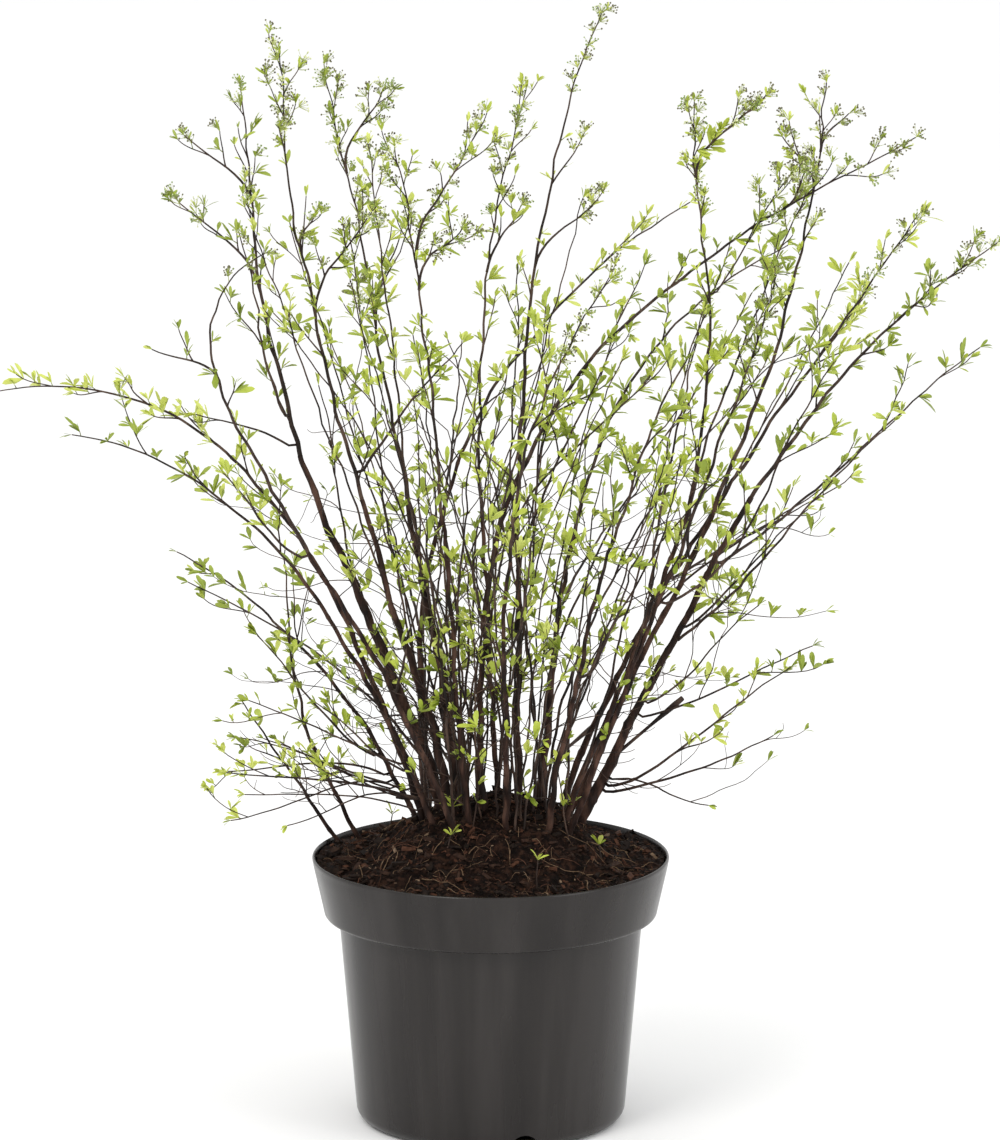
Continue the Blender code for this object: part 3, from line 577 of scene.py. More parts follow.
def stem_branch(stem):
    """A whole stem, from just under the soil to its tip."""
    green = any_green()
    curve = stem_curve(stem)
    down = unit(curve[2] - curve[1])
    points = wander(even_points(np.vstack([curve[1] - down * SUNK, curve[1:]]), BARK_STEP))
    lengths = arc_lengths(points)
    above = np.maximum(lengths - SUNK, 0.0)
    share = np.clip(above / (lengths[-1] - SUNK), 0.0, 1.0)
    butt, butt_length = stem.butt
    radii = stem_radius(stem.girth, share) * (1 + butt * np.exp(-(above / butt_length)**1.5))
    return Branch(points, radii, stem.bare * (lengths[-1] - SUNK) + SUNK, 0, green, stem.leafy)


def bough(points, girth, bare, green, leafy):
    """A tapering branch, bare over the given share of its length."""
    lengths = arc_lengths(points)
    radii = stem_radius(girth, lengths / lengths[-1])
    return Branch(points, radii, bare * lengths[-1], 1, green, leafy)


def side_branch(side, carrier):
    """A bough on a stem's side, from the middle of its carrier to its named tip."""
    green = any_green()
    root, along, radius = carrier.at(SUNK + side.at * (carrier.length - SUNK))
    points = wander(even_points(side_curve(side, root, along, radius), TWIG_STEP), 0.8)
    return bough(points, min(side.girth, BOUGH_MOST * radius), side.bare, green, side.leafy)


def twig_branch(carrier, tip):
    """A long twig from a spray's stem to its named tip."""
    above = carrier.points[carrier.lengths >= carrier.bare]
    points = wander(even_points(twig_curve(above, tip), TWIG_STEP), 0.6)
    radii = np.linspace(LONG_TWIG_RADIUS, TIP_RADIUS, len(points))
    return Branch(points, radii, LEAF_STEP / 3, 1, carrier.green, carrier.leafy)


def fork_branch(carrier):
    """A thinner stem that forks off low down and runs up beside its carrier."""
    green = any_green()
    root, along, radius = carrier.at(SUNK + between(*FORK_ROOT) * (carrier.length - SUNK))
    end, end_along, _ = carrier.at(between(*FORK_END) * carrier.length)
    aside = square_to(end_along, between(0.0, TURN))
    tip = end + aside * between(*FORK_ASIDE)
    reach = tip - root
    first = unit(along + 0.35 * unit(reach)) * np.linalg.norm(reach)
    points = wander(even_points(hermite(root, tip, first, reach * 0.9), TWIG_STEP))
    girth = min(FORK_MOST * radius, between(*FORK_GIRTH))
    return bough(points, girth, between(*FORK_BARE), green, carrier.leafy * FORK_LEAFY)


def ground_branch():
    """A thin young stem from the soil, which fans out the way it stands."""
    green = any_green()
    angle = between(0.0, TURN)
    far = sqrt(rng.random())
    x = GROUND_FOOT[0] * far * cos(angle)
    y = GROUND_FOOT[1] * far * sin(angle)
    height = between(*GROUND_HEIGHT)
    lean_out = 1 + GROUND_LEAN * height / GROUND_HEIGHT[1]
    start = np.array((x, y, soil_level(x, y) - 6.0))
    tip = np.array((x * lean_out + rng.gauss(0.0, GROUND_STRAY),
                    y * lean_out + rng.gauss(0.0, GROUND_STRAY), soil_level(x, y) + height))
    reach = tip - start
    first = reach * np.array((between(0.2, 0.9), between(0.2, 0.9), 1.3))
    curve = hermite(start, tip, first, reach * np.array((1.5, 1.5, 0.75)))
    points = wander(even_points(curve, TWIG_STEP))
    return bough(points, between(*GROUND_GIRTH), between(*GROUND_BARE), green, GROUND_LEAFY)


def stub_branch(carrier, share, tip, radius):
    """The stump of a cut twig, thickest at its blunt end."""
    root, _, _ = carrier.at(SUNK + share * (carrier.length - SUNK))
    t = shares(8)
    return Branch(root + (tip - root) * t,
                  np.interp(t[:, 0], (0.0, 0.55, 0.85, 1.0), (1.5, 1.3, radius, radius * 0.8)))


def sprig_branch(x, y, height):
    """A little upright shoot on the compost."""
    foot = np.array((x, y, soil_level(x, y) - 2.0))
    tip = foot + np.array((between(-0.2, 0.2), between(-0.2, 0.2), 1.0)) * (height + 2.0)
    return Branch(wander(foot + (tip - foot) * shares(6), 0.5), np.linspace(0.75, 0.45, 7))


def shoot(carrier, length, size, turn, angles=SHOOT_ANGLE, thick=SHOOT_RADIUS, crook=1.0):
    """A short leafy twig off a branch, bent up towards the light."""
    place, along, side, radius = carrier.spot(length, turn)
    slant = radians(between(*angles))
    out = along * cos(slant) + side * sin(slant)
    out = unit(out + UP * between(*SHOOT_LIFT))
    up = unit(out + UP * 0.5)
    points = hermite(place, place + out * size, unit(out + along * 0.4) * size, up * size,
                     8 if crook == 1.0 else 11)
    points = points + (wander(points, 0.4) - points) * crook
    radii = np.linspace(min(radius * 0.8, thick), SHOOT_TIP * thick / SHOOT_RADIUS, len(points))
    return Branch(points, radii, min(12.0, size * 0.2), 2, carrier.green, carrier.leafy)


class Crown:
    """All the wood of the plant, and the box that it has to stay in."""

    def __init__(self, low, high):
        self.low = np.array(low) / MM
        self.high = np.array(high) / MM
        self.stems = {stem.name: stem_branch(stem) for stem in STEMS}
        self.boughs = []
        self.shoots = []
        for stem in STEMS:
            self.boughs += [twig_branch(self.stems[stem.name], tip) for tip in stem.twigs]
        for side in (*SIDES, *FINE_SIDES):
            self.boughs.append(side_branch(side, self.stems[side.carrier]))
        for stem in STEMS:
            for _ in range(stem.forks):
                self.keep(self.boughs, fork_branch(self.stems[stem.name]), FORK_ROOM)
        self.boughs += [ground_branch() for _ in range(GROUND_SHOOTS)]
        self.stubs = [stub_branch(self.stems[name], *where) for name, *where in STUBS]
        self.sprigs = [sprig_branch(x, y, height) for x, y, height, _ in SPRIGS]
        for branch in (*self.stems.values(), *self.boughs):
            self.grow_shoots(branch)
            self.grow_low_twigs(branch)

    def holds(self, place, room):
        return bool(np.all(place > self.low + room) and np.all(place < self.high - room))

    def keep(self, kind, branch, room):
        """Add a branch to its kind, if its tip is well inside the box."""
        if self.holds(branch.points[-1], room):
            kind.append(branch)

    def grow_shoots(self, branch):
        """Shoots along the leafy part of a branch, shorter and closer near a tall tip."""
        turn = between(0.0, TURN)
        length = branch.bare + SHOOT_GAP * between(0.1, 0.6)
        tall = branch.points[-1][2] > FLOWER_HEIGHT
        while length < branch.length - SHOOT_END:
            share = (length - branch.bare) / (branch.length - branch.bare)
            size = between(*SHOOT_LENGTH) * (1.0 - 0.45 * share)
            gap = SHOOT_GAP * between(0.6, 1.5) / branch.leafy
            if tall and length > branch.length - TIP_ZONE:
                size = between(*TIP_SHOOT)
                gap = TIP_GAP * between(0.6, 1.4)
            turn += radians(GOLDEN) + between(-0.4, 0.4)
            self.keep(self.shoots, shoot(branch, length, size, turn), SHOOT_ROOM)
            length += gap

    def grow_low_twigs(self, branch):
        """Fine crooked twigs off a stem's bare foot, with few leaves or none."""
        turn = between(0.0, TURN)
        length = SUNK + TANGLE_GAP * between(0.5, 1.5)
        while length < branch.bare:
            height = branch.at(length)[0][2] - MOUND_HEIGHT
            if height > LOW_TOP:
                break
            low = height < TANGLE_TOP
            turn += between(*LOW_TURN)
            size = between(*(TANGLE_LENGTH if low else LOW_LENGTH))
            twig = shoot(branch, length, size, turn, LOW_ANGLE, LOW_RADIUS, CROOKED)
            root, tip = twig.points[0], twig.points[-1]
            outward = hypot(*tip[:2]) > hypot(*root[:2]) and tip[2] > root[2] - TANGLE_DROP
            if self.holds(tip, SHOOT_ROOM) and (outward or not low):
                twig.bare = twig.length * (between(0.55, 1.6) if low else between(0.2, 0.7))
                self.shoots.append(twig)
                if rng.random() < OFFSHOOTS:
                    turn += between(*LOW_TURN)
                    self.shoots.append(shoot(twig, twig.length * between(0.3, 0.7),
                                             twig.length * between(0.3, 0.6), turn,
                                             LOW_ANGLE, LOW_RADIUS * 0.8, CROOKED))
                    self.shoots[-1].bare = twig.bare
            gap = TANGLE_GAP * (TANGLE_RIGHT if root[0] > 0 else 1.0) if low else LOW_GAP
            length += gap * between(0.5, 1.5)


def add_object(name, data):
    """A new object in the scene."""
    thing = bpy.data.objects.new(name, data)
    bpy.context.scene.collection.objects.link(thing)
    return thing


def add_mesh(name, make, **settings):
    """A new mesh, made by one of bmesh's own makers."""
    mesh = bpy.data.meshes.new(name)
    work = bmesh.new()
    make(work, **settings)
    work.to_mesh(mesh)
    work.free()
    return mesh


class Bundle:
    """Many small shapes gathered into one mesh, each with its own material slot."""

    def __init__(self):
        self.corners = []
        self.faces = []
        self.slots = []
        self.count = 0

    def add(self, corners, faces, slot=0):
        self.corners.append(corners)
        self.faces += [tuple(corner + self.count for corner in face) for face in faces]
        self.slots += [slot] * len(faces)
        self.count += len(corners)

    def build(self, name, materials, smooth=True):
        mesh = bpy.data.meshes.new(name)
        mesh.from_pydata((np.vstack(self.corners) * MM).tolist(), [], self.faces)
        for material in materials:
            mesh.materials.append(material)
        mesh.polygons.foreach_set("material_index", self.slots)
        mesh.polygons.foreach_set("use_smooth", [smooth] * len(mesh.polygons))
        mesh.update()
        return add_object(name, mesh)


def sweep(points, radii, sides, relief=None):
    """A tube along points: corners and faces. A row of relief scales the corners of a ring."""
    tangents = np.gradient(points, axis=0)
    tangents /= np.linalg.norm(tangents, axis=1)[:, None]
    side = square_to(tangents[0], 0.0)
    angles = np.arange(sides)[:, None] * TURN / sides
    rings = []
    for ring, (place, along, radius) in enumerate(zip(points, tangents, radii)):
        side = unit(side - along * side.dot(along))
        scale = radius * (np.ones(sides) if relief is None else relief[ring])
        rings.append(place + scale[:, None] * (np.cos(angles) * side
                                               + np.sin(angles) * np.cross(along, side)))
    last = (len(points) - 1) * sides
    faces = [(a + k, a + (k + 1) % sides, a + sides + (k + 1) % sides, a + sides + k)
             for a in range(0, last, sides) for k in range(sides)]
    faces += [tuple(range(sides - 1, -1, -1)), tuple(range(last, last + sides))]
    return np.vstack(rings), faces


def bark_relief(points, seed):
    """Ridges and knots of bark, as a scale for each corner of a swept limb."""
    relief = np.ones((len(points), BARK_SIDES))
    for ring, length in enumerate(arc_lengths(points)):
        knot = max(0.0, cos(length * TURN / KNOT_GAP + seed))**24
        for k in range(BARK_SIDES):
            x, y = cos(k * TURN / BARK_SIDES), sin(k * TURN / BARK_SIDES)
            ridge = noise.noise(Vector((x * 1.6, y * 1.6, length / 26.0 + seed)))
            fine = noise.noise(Vector((x * 3.4, y * 3.4, length / 7.0 - seed)))
            relief[ring, k] += BARK_DEPTH * (ridge + 0.6 * fine) + 0.22 * knot
    return relief


def bark_pieces(crown, materials):
    """One piece of bark for each bare limb, standing for its solid."""
    for index, (name, branch) in enumerate(crown.stems.items()):
        points, radii = branch.part(0.0, branch.bare + 3.0)
        bundle = Bundle()
        bundle.add(*sweep(points, radii, BARK_SIDES, bark_relief(points, index * 5.3)))
        piece = bundle.build(f"{name}_bark", [materials["bark_old"]])
        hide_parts(f"{name}_stem")
        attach(piece, "root")


def leaf_shape():
    """Corners of a unit leaf as (across, along, edge lift), and its faces."""
    corners = []
    for along, half in LEAF_ROWS:
        corners += [(-half, along, half), (0.0, along, 0.0), (half, along, half)]
    tip = len(corners)
    corners.append((0.0, 1.0, 0.0))
    faces = []
    for a in range(0, tip - 3, 3):
        faces += [(a, a + 1, a + 4, a + 3), (a + 1, a + 2, a + 5, a + 4)]
    faces += [(tip - 3, tip - 2, tip), (tip - 2, tip - 1, tip)]
    return np.array(corners), faces


def ball():
    """Corners and faces of a small round bud of radius 1."""
    mesh = add_mesh("bud", bmesh.ops.create_icosphere, subdivisions=1, radius=1.0)
    corners = np.array([vertex.co[:] for vertex in mesh.vertices])
    faces = [tuple(polygon.vertices) for polygon in mesh.polygons]
    bpy.data.meshes.remove(mesh)
    return corners, faces


UNIT_LEAF, LEAF_FACES = leaf_shape()
UNIT_BUD, BUD_FACES = ball()


def add_leaf(bundle, root, direction, length, width, slot):
    """One leaf: cupped along its midrib, bent back a little, its blade up."""
    across = np.cross(direction, (0.0, 0.0, 1.0))
    if np.linalg.norm(across) < 0.15:
        across = np.cross(direction, (between(-1, 1), between(-1, 1), 0.0))
    across = unit(across)
    normal = np.cross(across, direction)
    roll = rng.gauss(0.0, 0.55)
    across, normal = (across * cos(roll) + normal * sin(roll),
                      normal * cos(roll) - across * sin(roll))
    bend = between(*LEAF_BEND)
    cup = between(*LEAF_CUP)
    along = UNIT_LEAF[:, 1]
    lift = UNIT_LEAF[:, 2] * cup * width * 2 - bend * length * along**2
    corners = (root + np.outer(UNIT_LEAF[:, 0] * width, across)
               + np.outer(along * length, direction) + np.outer(lift, normal))
    bundle.add(corners, LEAF_FACES, slot)


def add_stick(bundle, start, end, start_radius, end_radius):
    """A straight thin stalk."""
    sides = range(STALK_SIDES)
    ring = np.array([square_to(unit(end - start), k * TURN / STALK_SIDES) for k in sides])
    faces = [(k, (k + 1) % STALK_SIDES, (k + 1) % STALK_SIDES + STALK_SIDES, k + STALK_SIDES)
             for k in sides]
    bundle.add(np.vstack([start + ring * start_radius, end + ring * end_radius]), faces)


def spur_at(spot, slants, lift, lengths):
    """A short spur's direction and its end, from a spot on a branch."""
    place, along, out, radius = spot
    slant = radians(between(*slants))
    spur = unit(along * cos(slant) + out * sin(slant) + UP * lift)
    return spur, place + spur * (radius + between(*lengths))


def patch_spacing(place):
    """How much wider apart leaves stand at a place than they would by its height alone."""
    spacing = 1.0
    for left, right, bottom, top, wider in PATCHES:
        if left < place[0] < right and bottom < place[2] < top:
            spacing = wider
    return spacing


class Foliage:
    """Leaves, stalks and flower buds, set along the twigs."""

    def __init__(self, crown):
        self.crown = crown
        self.leaves = Bundle()
        self.spurs = Bundle()
        self.stalks = Bundle()
        self.buds = Bundle()
        for branch in (*crown.stems.values(), *crown.boughs, *crown.shoots):
            self.dress(branch)
        for branch, (_, _, height, count) in zip(crown.sprigs, SPRIGS):
            self.dress_sprig(branch, (1.0,) if height < 30 else (0.45, 0.7, 1.0), count)

    def leaf(self, root, direction, size, green):
        length = size * between(0.85, 1.15) * interp(root[2], LEAF_HEIGHTS, LEAF_SCALES)
        if self.crown.holds(root + direction * length, 0.5):
            width = length * between(*LEAF_BREADTH) * interp(root[2], LEAF_HEIGHTS, LEAF_WIDTHS)
            slot = green if rng.random() > OTHER_GREEN else any_green()
            add_leaf(self.leaves, root, direction, length, width, slot)

    def tuft(self, spot, size, count, green):
        """A short spur with a rosette of leaves at its end."""
        place, along, _, radius = spot
        spur, end = spur_at(spot, SPUR_SLANT, 0.15 + 0.9 * (1.0 - abs(along[2])), SPUR_LENGTH)
        add_stick(self.spurs, place, end, min(radius, SPUR_RADIUS[0]), SPUR_RADIUS[1])
        for index in range(count):
            leans, sizes = INNER_LEAVES if index < 2 else OUTER_LEAVES
            direction = lean(spur, *leans)
            length = size * between(*sizes)
            self.leaf(end - spur * between(0.0, 1.5), direction, length, green)

    def umbel(self, spot, green):
        """A small cluster of flower buds on fine stalks, with a few small leaves."""
        spur, end = spur_at(spot, UMBEL_SLANT, 0.3, UMBEL_STEM)
        add_stick(self.stalks, spot[0], end, *UMBEL_RADIUS)
        for _ in range(rng.randint(2, 4)):
            self.leaf(end, lean(spur, *UMBEL_LEAN), SMALL_LEAF * between(0.7, 1.2), green)
        colour = rng.choices((0, 1, 2), BUD_SHARES)[0]
        for _ in range(rng.randint(*UMBEL_BUDS)):
            tip = end + lean(spur, *STALK_LEAN) * between(*STALK_LENGTH)
            size = between(*BUD_RADIUS)
            if self.crown.holds(tip, BUD_ROOM):
                add_stick(self.stalks, end, tip, *STALK_RADIUS)
                self.buds.add(tip + UNIT_BUD * size, BUD_FACES,
                              colour if rng.random() < 0.8 else rng.randrange(3))

    def dress(self, branch):
        """Leaf tufts along a branch, then bud clusters near its tip."""
        turn = between(0.0, TURN)
        flowers = 0.0
        if branch.points[-1][2] > FLOWER_HEIGHT:
            flowers = between(*FLOWER_LENGTH[branch.level])
        if branch.level == 2 and rng.random() > FLOWER_SHOOTS:
            flowers = 0.0
        if branch.bare >= branch.length:
            return
        length = branch.bare * (1.0 if branch.level == 2 else LOW_LEAF) + between(2.0, 12.0)
        while length < branch.length - 3.0:
            turn += radians(GOLDEN) + between(-0.5, 0.5)
            spot = branch.spot(length, turn)
            spacing = patch_spacing(spot[0])
            if length > branch.length - flowers:
                self.umbel(spot, branch.green)
                length += between(*UMBEL_GAP) * spacing
                continue
            if length >= branch.bare or rng.random() < LOW_SHARE:
                count = rng.choices(range(1, 7), TUFT_COUNTS)[0]
                self.tuft(spot, LEAF_LENGTH * between(0.75, 1.2), count, branch.green)
            gap = interp(spot[0][2], GAP_HEIGHTS, GAP_SCALES) * LEVEL_GAPS[branch.level]
            length += between(*TUFT_GAP) * gap * spacing / branch.leafy
        end = branch.spot(branch.length, turn)
        if flowers:
            self.umbel(end, branch.green)
        for _ in range(rng.randint(3, 5)):
            self.leaf(end[0], lean(end[1], *END_LEAN), LEAF_LENGTH * between(0.5, 0.85), branch.green)

    def dress_sprig(self, branch, places, count):
        """Loose leaves and a small tuft at each of the given shares of a sprig's length."""
        for share in places:
            spot = branch.spot(branch.length * share, between(0.0, TURN))
            for index in range(count if share == 1.0 else 2):
                self.leaf(spot[0], lean(spot[1], *SPRIG_LEAN), SPRIG_LEAF * between(0.7, 1.25),
                          3 * (index % 2))
            self.tuft(spot, SPRIG_LEAF * 0.6, 2, 0)


def spray_nodes():
    return [f"{thing.name}_spray" for thing in (*STEMS, *SIDES)]


def foliage_pieces(crown, foliage, materials):
    """Twigs, spurs, leaves, stalks and buds, each kind joined, for the leafy solids."""
    twigs = Bundle()
    for branch in crown.stems.values():
        points, radii = branch.part(branch.bare, branch.length)
        points = even_points(points, TWIG_STEP)
        radii = np.interp(np.linspace(0, 1, len(points)), np.linspace(0, 1, len(radii)), radii)
        twigs.add(*sweep(points, radii, TWIG_SIDES + 1))
    for branch in (*crown.boughs, *crown.shoots, *crown.stubs, *crown.sprigs):
        twigs.add(*sweep(branch.points, branch.radii, TWIG_SIDES))
    kinds = (("twigs", twigs, ["bark_young"], "stem_bark"),
             ("spurs", foliage.spurs, ["spur_green"], "young_leaves"),
             ("leaves", foliage.leaves, LEAF_COLOURS, "young_leaves"),
             ("bud_stalks", foliage.stalks, ["stalk_green"], "young_leaves"),
             ("flower_buds", foliage.buds, BUD_COLOURS, "young_leaves"))
    for name, bundle, looks, slot in kinds:
        piece = bundle.build(name, [materials[look] for look in looks])
        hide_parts(*spray_nodes())
        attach(piece, "root")


def soil_level(x, y):
    """Height of the compost's surface: level at the rim, a low mound, a heap in the middle."""
    radius = hypot(x, y)
    share = min(1.0, max(0.0, (SHOULDER_OUT - radius) / (SHOULDER_OUT - SHOULDER_IN)))
    mound = SOIL_RISE * share * share * (3 - 2 * share)
    heap = HEAP_RISE * exp(-(hypot(x - HEAP_PLACE[0], y - HEAP_PLACE[1]) / HEAP_RADIUS)**2)
    fade = min(1.0, (INNER_RADIUS - radius) / 14.0)
    lumps = (noise.fractal(Vector((x / LUMP_SIZE, y / LUMP_SIZE, 3.1)), 0.9, 2.1, 5)
             * SOIL_LUMPS * (0.3 + 0.7 * fade))
    return SOIL_EDGE_HEIGHT + mound + heap + lumps


def soil_piece(material):
    """The compost's surface in rings round its middle, and a skirt down from its edge."""
    corners = [(0.0, 0.0, soil_level(0.0, 0.0))]
    for ring in range(1, SOIL_RINGS + 1):
        radius = INNER_RADIUS * (ring / SOIL_RINGS)**0.85
        for spoke in range(SOIL_SPOKES):
            angle = (spoke + 0.5 * (ring % 2)) * TURN / SOIL_SPOKES
            x, y = radius * cos(angle), radius * sin(angle)
            corners.append((x, y, soil_level(x, y)))
    inward = SKIRT_RADIUS / INNER_RADIUS
    corners += [(x * inward, y * inward, SKIRT_HEIGHT) for x, y, _ in corners[-SOIL_SPOKES:]]
    faces = [(0, 1 + k, 1 + (k + 1) % SOIL_SPOKES) for k in range(SOIL_SPOKES)]
    for ring in range(SOIL_RINGS):
        first = 1 + ring * SOIL_SPOKES
        for k in range(SOIL_SPOKES):
            n = (k + 1) % SOIL_SPOKES
            faces.append((first + k, first + k + SOIL_SPOKES, first + n + SOIL_SPOKES, first + n))
    bundle = Bundle()
    bundle.add(np.array(corners), faces)
    return bundle.build("compost", [material])


def random_disc(radius):
    """A random place on a disc."""
    while True:
        x = between(-radius, radius)
        y = between(-radius, radius)
        if hypot(x, y) < radius:
            return x, y


def chip_piece(materials):
    """Bits of bark and wood lying in the compost: small uneven slabs."""
    bundle = Bundle()
    signs = (-1, 1)
    faces = [(0, 1, 3, 2), (4, 6, 7, 5), (0, 4, 5, 1), (2, 3, 7, 6), (0, 2, 6, 4), (1, 5, 7, 3)]
    for _ in range(CHIPS):
        x, y = random_disc(INNER_RADIUS - 3.0)
        size = rng.choices(CHIP_SIZES, CHIP_SIZE_SHARES)[0] * between(0.7, 1.5)
        long = size * between(1.6, 3.4)
        wide = size * between(0.7, 1.3)
        thick = size * between(0.25, 0.6)
        turn = Matrix.Rotation(between(0, TURN), 3, "Z")
        tilt = (Matrix.Rotation(rng.gauss(0.0, 0.4), 3, "X")
                @ Matrix.Rotation(rng.gauss(0.0, 0.35), 3, "Y"))
        corners = [(sx * long / 2 * between(0.6, 1.1), sy * wide / 2 * between(0.5, 1.2),
                    sz * thick / 2 * between(0.7, 1.2)) for sx in signs for sy in signs for sz in signs]
        place = np.array((x, y, soil_level(x, y) + between(-0.1, 0.5) * size))
        bundle.add(np.array(corners) @ np.array(turn @ tilt).T + place, faces,
                   rng.choices(range(4), CHIP_SHARES)[0])
    return bundle.build("bark_chips", materials, smooth=False)


def fibre_piece(materials):
    """Fine roots and fibres that lie over the compost."""
    bundle = Bundle()
    for _ in range(FIBRES):
        x, y = random_disc(INNER_RADIUS - 12.0)
        heading = between(0, TURN)
        length = rng.choices(FIBRE_LENGTHS, FIBRE_LENGTH_SHARES)[0] * between(0.7, 1.3)
        lift = between(0.3, 3.0)
        points = []
        for step in range(FIBRE_STEPS + 1):
            arch = lift * sin(pi * (step / FIBRE_STEPS))
            points.append((x, y, soil_level(x, y) + 0.4 + arch))
            heading += rng.gauss(0.0, 0.22)
            x += cos(heading) * length / FIBRE_STEPS
            y += sin(heading) * length / FIBRE_STEPS
            if hypot(x, y) > INNER_RADIUS - 4.0:
                break
        if len(points) < 4:
            continue
        radius = between(0.2, 0.55)
        corners, faces = sweep(np.array(points), np.linspace(radius, radius * 0.4, len(points)), 4)
        bundle.add(corners, faces, rng.choices((0, 1), (3, 2))[0])
    return bundle.build("root_fibres", materials)


def near(radius, height, *steps):
    """Points of the pot's section round one of its corners."""
    return [(radius + out, height + up) for out, up in steps]


def straight(start, end, places):
    """Points on a straight stretch of the section, at these shares of it."""
    return [tuple(a + (b - a) * share for a, b in zip(start, end)) for share in places]


def pot_profile():
    """The pot's section as (radius, height), from the middle of its floor to the outside."""
    arc = [step / 7 * pi / 2 for step in range(1, 8)]
    return [
        (0.0, FLOOR), *near(BODY_FOOT_RADIUS, FLOOR, (-22.0, 0.0), (-8.0, 2.5), (-WALL - 0.6, 10.0)),
        *near(BODY_TOP_RADIUS - WALL, BODY_TOP_HEIGHT + STEP_THICK, (0.0, -3.0), (1.4, -0.4)),
        *near(BAND_FOOT_RADIUS - WALL, BAND_FOOT_HEIGHT + STEP_THICK, (-3.0, -1.0), (0.0, 1.5)),
        *near(RIM_RADIUS - WALL, POT_HEIGHT, (-0.2, -2.5), (0.3, -0.7), (1.0, 0.0)),
        *near(RIM_RADIUS, POT_HEIGHT, (-0.9, 0.0), (-0.25, -0.5), (0.0, -1.4), (-0.1, -2.6),
              (-0.5, -4.0), (-0.75, -6.0)),
        *straight((RIM_RADIUS - 0.75, POT_HEIGHT - 6.0), (BAND_FOOT_RADIUS, BAND_FOOT_HEIGHT),
                  (0.25, 0.5, 0.75, 0.94)),
        *near(BAND_FOOT_RADIUS, BAND_FOOT_HEIGHT, (-0.1, -0.6), (-0.45, -2.0), (-1.2, -3.2),
              (-LIP_ROUND, -LIP_DROP), (-LIP_ROUND - 2.0, -LIP_DROP - 0.4)),
        *near(BODY_TOP_RADIUS, BODY_TOP_HEIGHT, (1.6, 0.2), (0.5, -0.5), (-0.1, -2.4)),
        *straight((BODY_TOP_RADIUS - 0.2, BODY_TOP_HEIGHT - 4.0), (BODY_FOOT_RADIUS, FOOT_ROUND),
                  (0.0, 0.2, 0.4, 0.6, 0.8, 0.97)),
        *[(BODY_FOOT_RADIUS - FOOT_ROUND * (1 - cos(angle)), FOOT_ROUND * (1 - sin(angle)))
          for angle in arc],
        *near(BODY_FOOT_RADIUS, 0.0, (-16.0, 0.0), (-19.0, 2.0)), (0.0, 2.2)]


def drain_cutters():
    """Round cutters for the notches in the pot's foot, in a collection of their own."""
    cutters = bpy.data.collections.new("drain_cutters")
    bpy.context.scene.collection.children.link(cutters)
    reach = (BODY_FOOT_RADIUS - 4.0) * MM
    for index in range(DRAIN_HOLES):
        angle = radians(DRAIN_TURN) + index / DRAIN_HOLES * TURN - pi / 2
        place = (Matrix.Translation((reach * cos(angle), reach * sin(angle), DRAIN_HEIGHT * MM))
                 @ Matrix.Rotation(angle, 4, "Z") @ Matrix.Rotation(pi / 2, 4, "Y"))
        name = f"drain_cutter_{index + 1}"
        mesh = add_mesh(name, bmesh.ops.create_cone, cap_ends=True, segments=24,
                        radius1=DRAIN_RADIUS * MM, radius2=DRAIN_RADIUS * MM,
                        depth=DRAIN_DEPTH * MM, matrix=place)
        cutters.objects.link(bpy.data.objects.new(name, mesh))
    return cutters


def pot_piece(material):
    """The thin moulded pot, turned from its section, with drain notches cut round its foot."""
    profile = pot_profile()
    mesh = bpy.data.meshes.new("pot_section")
    mesh.from_pydata([(radius * MM, 0.0, height * MM) for radius, height in profile],
                     [(k, k + 1) for k in range(len(profile) - 1)], [])
    mesh.materials.append(material)
    raw = add_object("pot_section", mesh)
    screw = raw.modifiers.new("turn", "SCREW")
    screw.steps = POT_SIDES
    screw.render_steps = POT_SIDES
    screw.use_merge_vertices = True
    screw.merge_threshold = 0.00001
    cutters = drain_cutters()
    drill = raw.modifiers.new("drain", "BOOLEAN")
    drill.operation = "DIFFERENCE"
    drill.solver = "EXACT"
    drill.operand_type = "COLLECTION"
    drill.collection = cutters
    bpy.context.view_layer.update()
    graph = bpy.context.evaluated_depsgraph_get()
    shell = bpy.data.meshes.new_from_object(raw.evaluated_get(graph))
    for thing in (raw, *cutters.objects):
        bpy.data.objects.remove(thing)
    bpy.data.collections.remove(cutters)
    work = bmesh.new()
    work.from_mesh(shell)
    bmesh.ops.recalc_face_normals(work, faces=work.faces)
    work.to_mesh(shell)
    work.free()
    for polygon in shell.polygons:
        polygon.use_smooth = True
    shell.set_sharp_from_angle(angle=radians(38))
    return add_object("pot_shell", shell)


def ground_pieces(materials):
    """Pot, compost and what lies in it."""
    pot = pot_piece(materials["pot_moulded"])
    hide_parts("pot")
    soil = soil_piece(materials["compost"])
    chips = chip_piece([materials[name] for name in CHIP_COLOURS])
    fibres = fibre_piece([materials[name] for name in FIBRE_COLOURS])
    for piece in (soil, chips, fibres):
        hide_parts("potting_soil")
    for piece in (pot, soil, chips, fibres):
        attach(piece, "root")


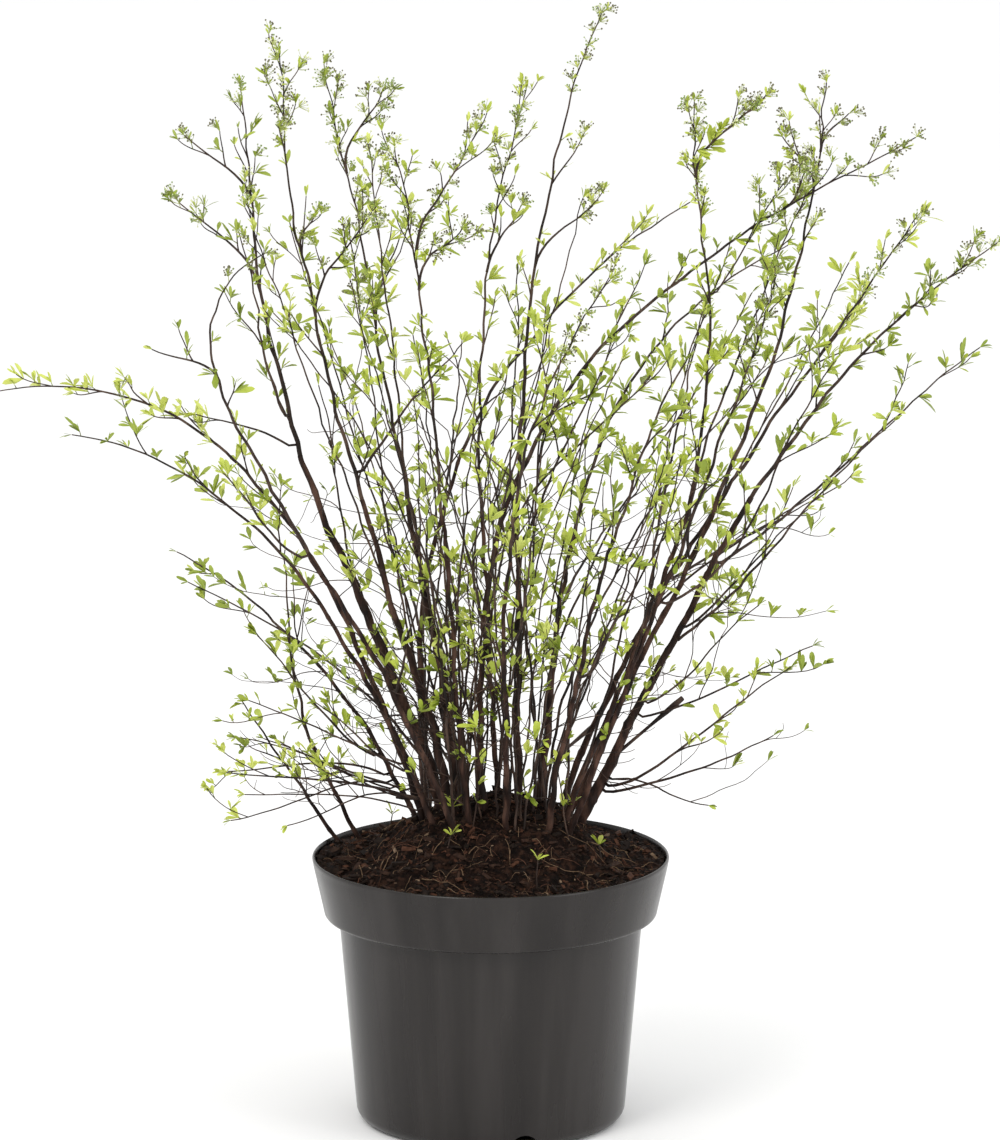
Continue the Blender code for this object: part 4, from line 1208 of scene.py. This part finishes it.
class Look:
    """A node material: two or three tones mixed by noise, with its own roughness and bump."""

    def __init__(self, name, tones, scale, roughness, bump=None, stretch=(1, 1, 1), specular=0.5):
        self.material = bpy.data.materials.new(name)
        self.material.use_nodes = True
        self.tree = self.material.node_tree
        shader = self.tree.nodes["Principled BSDF"]
        shader.inputs["Specular IOR Level"].default_value = specular
        self.mapping = self.node("Mapping", Scale=stretch)
        self.join(self.node("TexCoord"), "Object", self.mapping, "Vector")
        ramp = self.node("ValToRGB")
        stops = ramp.color_ramp.elements
        for stop, place, tone in zip(stops, RAMP_ENDS, (tones[0], tones[-1])):
            stop.position = place
            stop.color = (*tone, 1.0)
        if len(tones) == 3:
            stops.new(0.5).color = (*tones[1], 1.0)
        self.grain(scale, 6.0, ramp, "Fac")
        self.join(ramp, "Color", shader, "Base Color")
        rough = self.node("MapRange", To_Min=roughness[0], To_Max=roughness[1], **WORN)
        self.grain(scale * 2.3, 3.0, rough, "Value")
        self.join(rough, "Result", shader, "Roughness")
        if bump:
            relief = self.node("Bump", Strength=1.0, Distance=bump[0])
            self.grain(bump[1], 5.0, relief, "Height")
            self.join(relief, "Normal", shader, "Normal")

    def node(self, kind, **values):
        """A new node, with values for its inputs."""
        node = self.tree.nodes.new(f"ShaderNode{kind}")
        for name, value in values.items():
            node.inputs[name.replace("_", " ")].default_value = value
        return node

    def join(self, source, output, target, entry):
        self.tree.links.new(source.outputs[output], target.inputs[entry])

    def grain(self, scale, detail, target, entry):
        """Noise of this scale, led into a node."""
        source = self.node("TexNoise", Scale=scale, Detail=detail)
        self.join(self.mapping, "Vector", source, "Vector")
        self.join(source, "Fac", target, entry)


def make_materials():
    looks = {name: Look(name, *values).material for name, values in LOOKS.items()}
    for colours, values in ((LEAF_COLOURS, LEAF_LOOK), (BUD_COLOURS, BUD_LOOK),
                            (CHIP_COLOURS, CHIP_LOOK), (FIBRE_COLOURS, CHIP_LOOK)):
        for name, tones in colours.items():
            looks[name] = Look(name, tones, *values).material
    return looks


def add_floor(material):
    mesh = add_mesh("studio_floor", bmesh.ops.create_grid, x_segments=8, y_segments=8, size=40.0)
    mesh.materials.append(material)
    floor = add_object("studio_floor", mesh)
    floor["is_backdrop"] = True


def aim(thing, place, target):
    thing.location = place
    thing.rotation_euler = (Vector(target) - Vector(place)).to_track_quat("-Z", "Y").to_euler()


def add_light(name, place, target, size, watts, colour=(1.0, 1.0, 1.0)):
    data = bpy.data.lights.new(name, "AREA")
    data.shape = "RECTANGLE"
    data.size, data.size_y = size
    data.energy = watts
    data.color = colour
    aim(add_object(name, data), place, target)


def add_studio():
    """White surroundings, a warm key light on the left and a fill light on the right."""
    world = bpy.data.worlds.new("studio")
    world.use_nodes = True
    background = world.node_tree.nodes["Background"]
    background.inputs["Color"].default_value = (1.0, 1.0, 1.0, 1.0)
    background.inputs["Strength"].default_value = WORLD_LIGHT
    scene = bpy.context.scene
    scene.world = world
    scene.view_settings.view_transform = "Standard"
    scene.view_settings.look = "None"
    add_light("key", (-1.8, -2.6, 3.2), (0.0, 0.0, 0.45), (1.6, 1.6), KEY_WATTS, (1.0, 0.98, 0.95))
    add_light("fill", (2.6, -1.8, 1.6), (0.0, 0.0, 0.4), (1.4, 2.0), FILL_WATTS)


def add_camera():
    data = bpy.data.cameras.new("camera")
    data.sensor_width = 36.0
    data.lens = CAMERA_LENS
    data.clip_start = 0.05
    data.clip_end = 100.0
    camera = add_object("camera", data)
    pitch = radians(CAMERA_PITCH)
    target = Vector(CAMERA_TARGET)
    aim(camera, target + Vector((0.0, -cos(pitch), sin(pitch))) * CAMERA_DISTANCE, target)
    bpy.context.scene.camera = camera


def main():
    for thing in list(bpy.data.objects):
        bpy.data.objects.remove(thing, do_unlink=True)
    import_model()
    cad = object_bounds()
    materials = make_materials()
    crown = Crown(*cad)
    bark_pieces(crown, materials)
    foliage = Foliage(crown)
    foliage_pieces(crown, foliage, materials)
    print(len(crown.boughs), "boughs", len(crown.shoots), "shoots",
          len(foliage.leaves.corners), "leaves")
    ground_pieces(materials)
    add_floor(materials["studio_floor"])
    add_studio()
    add_camera()
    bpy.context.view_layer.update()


main()
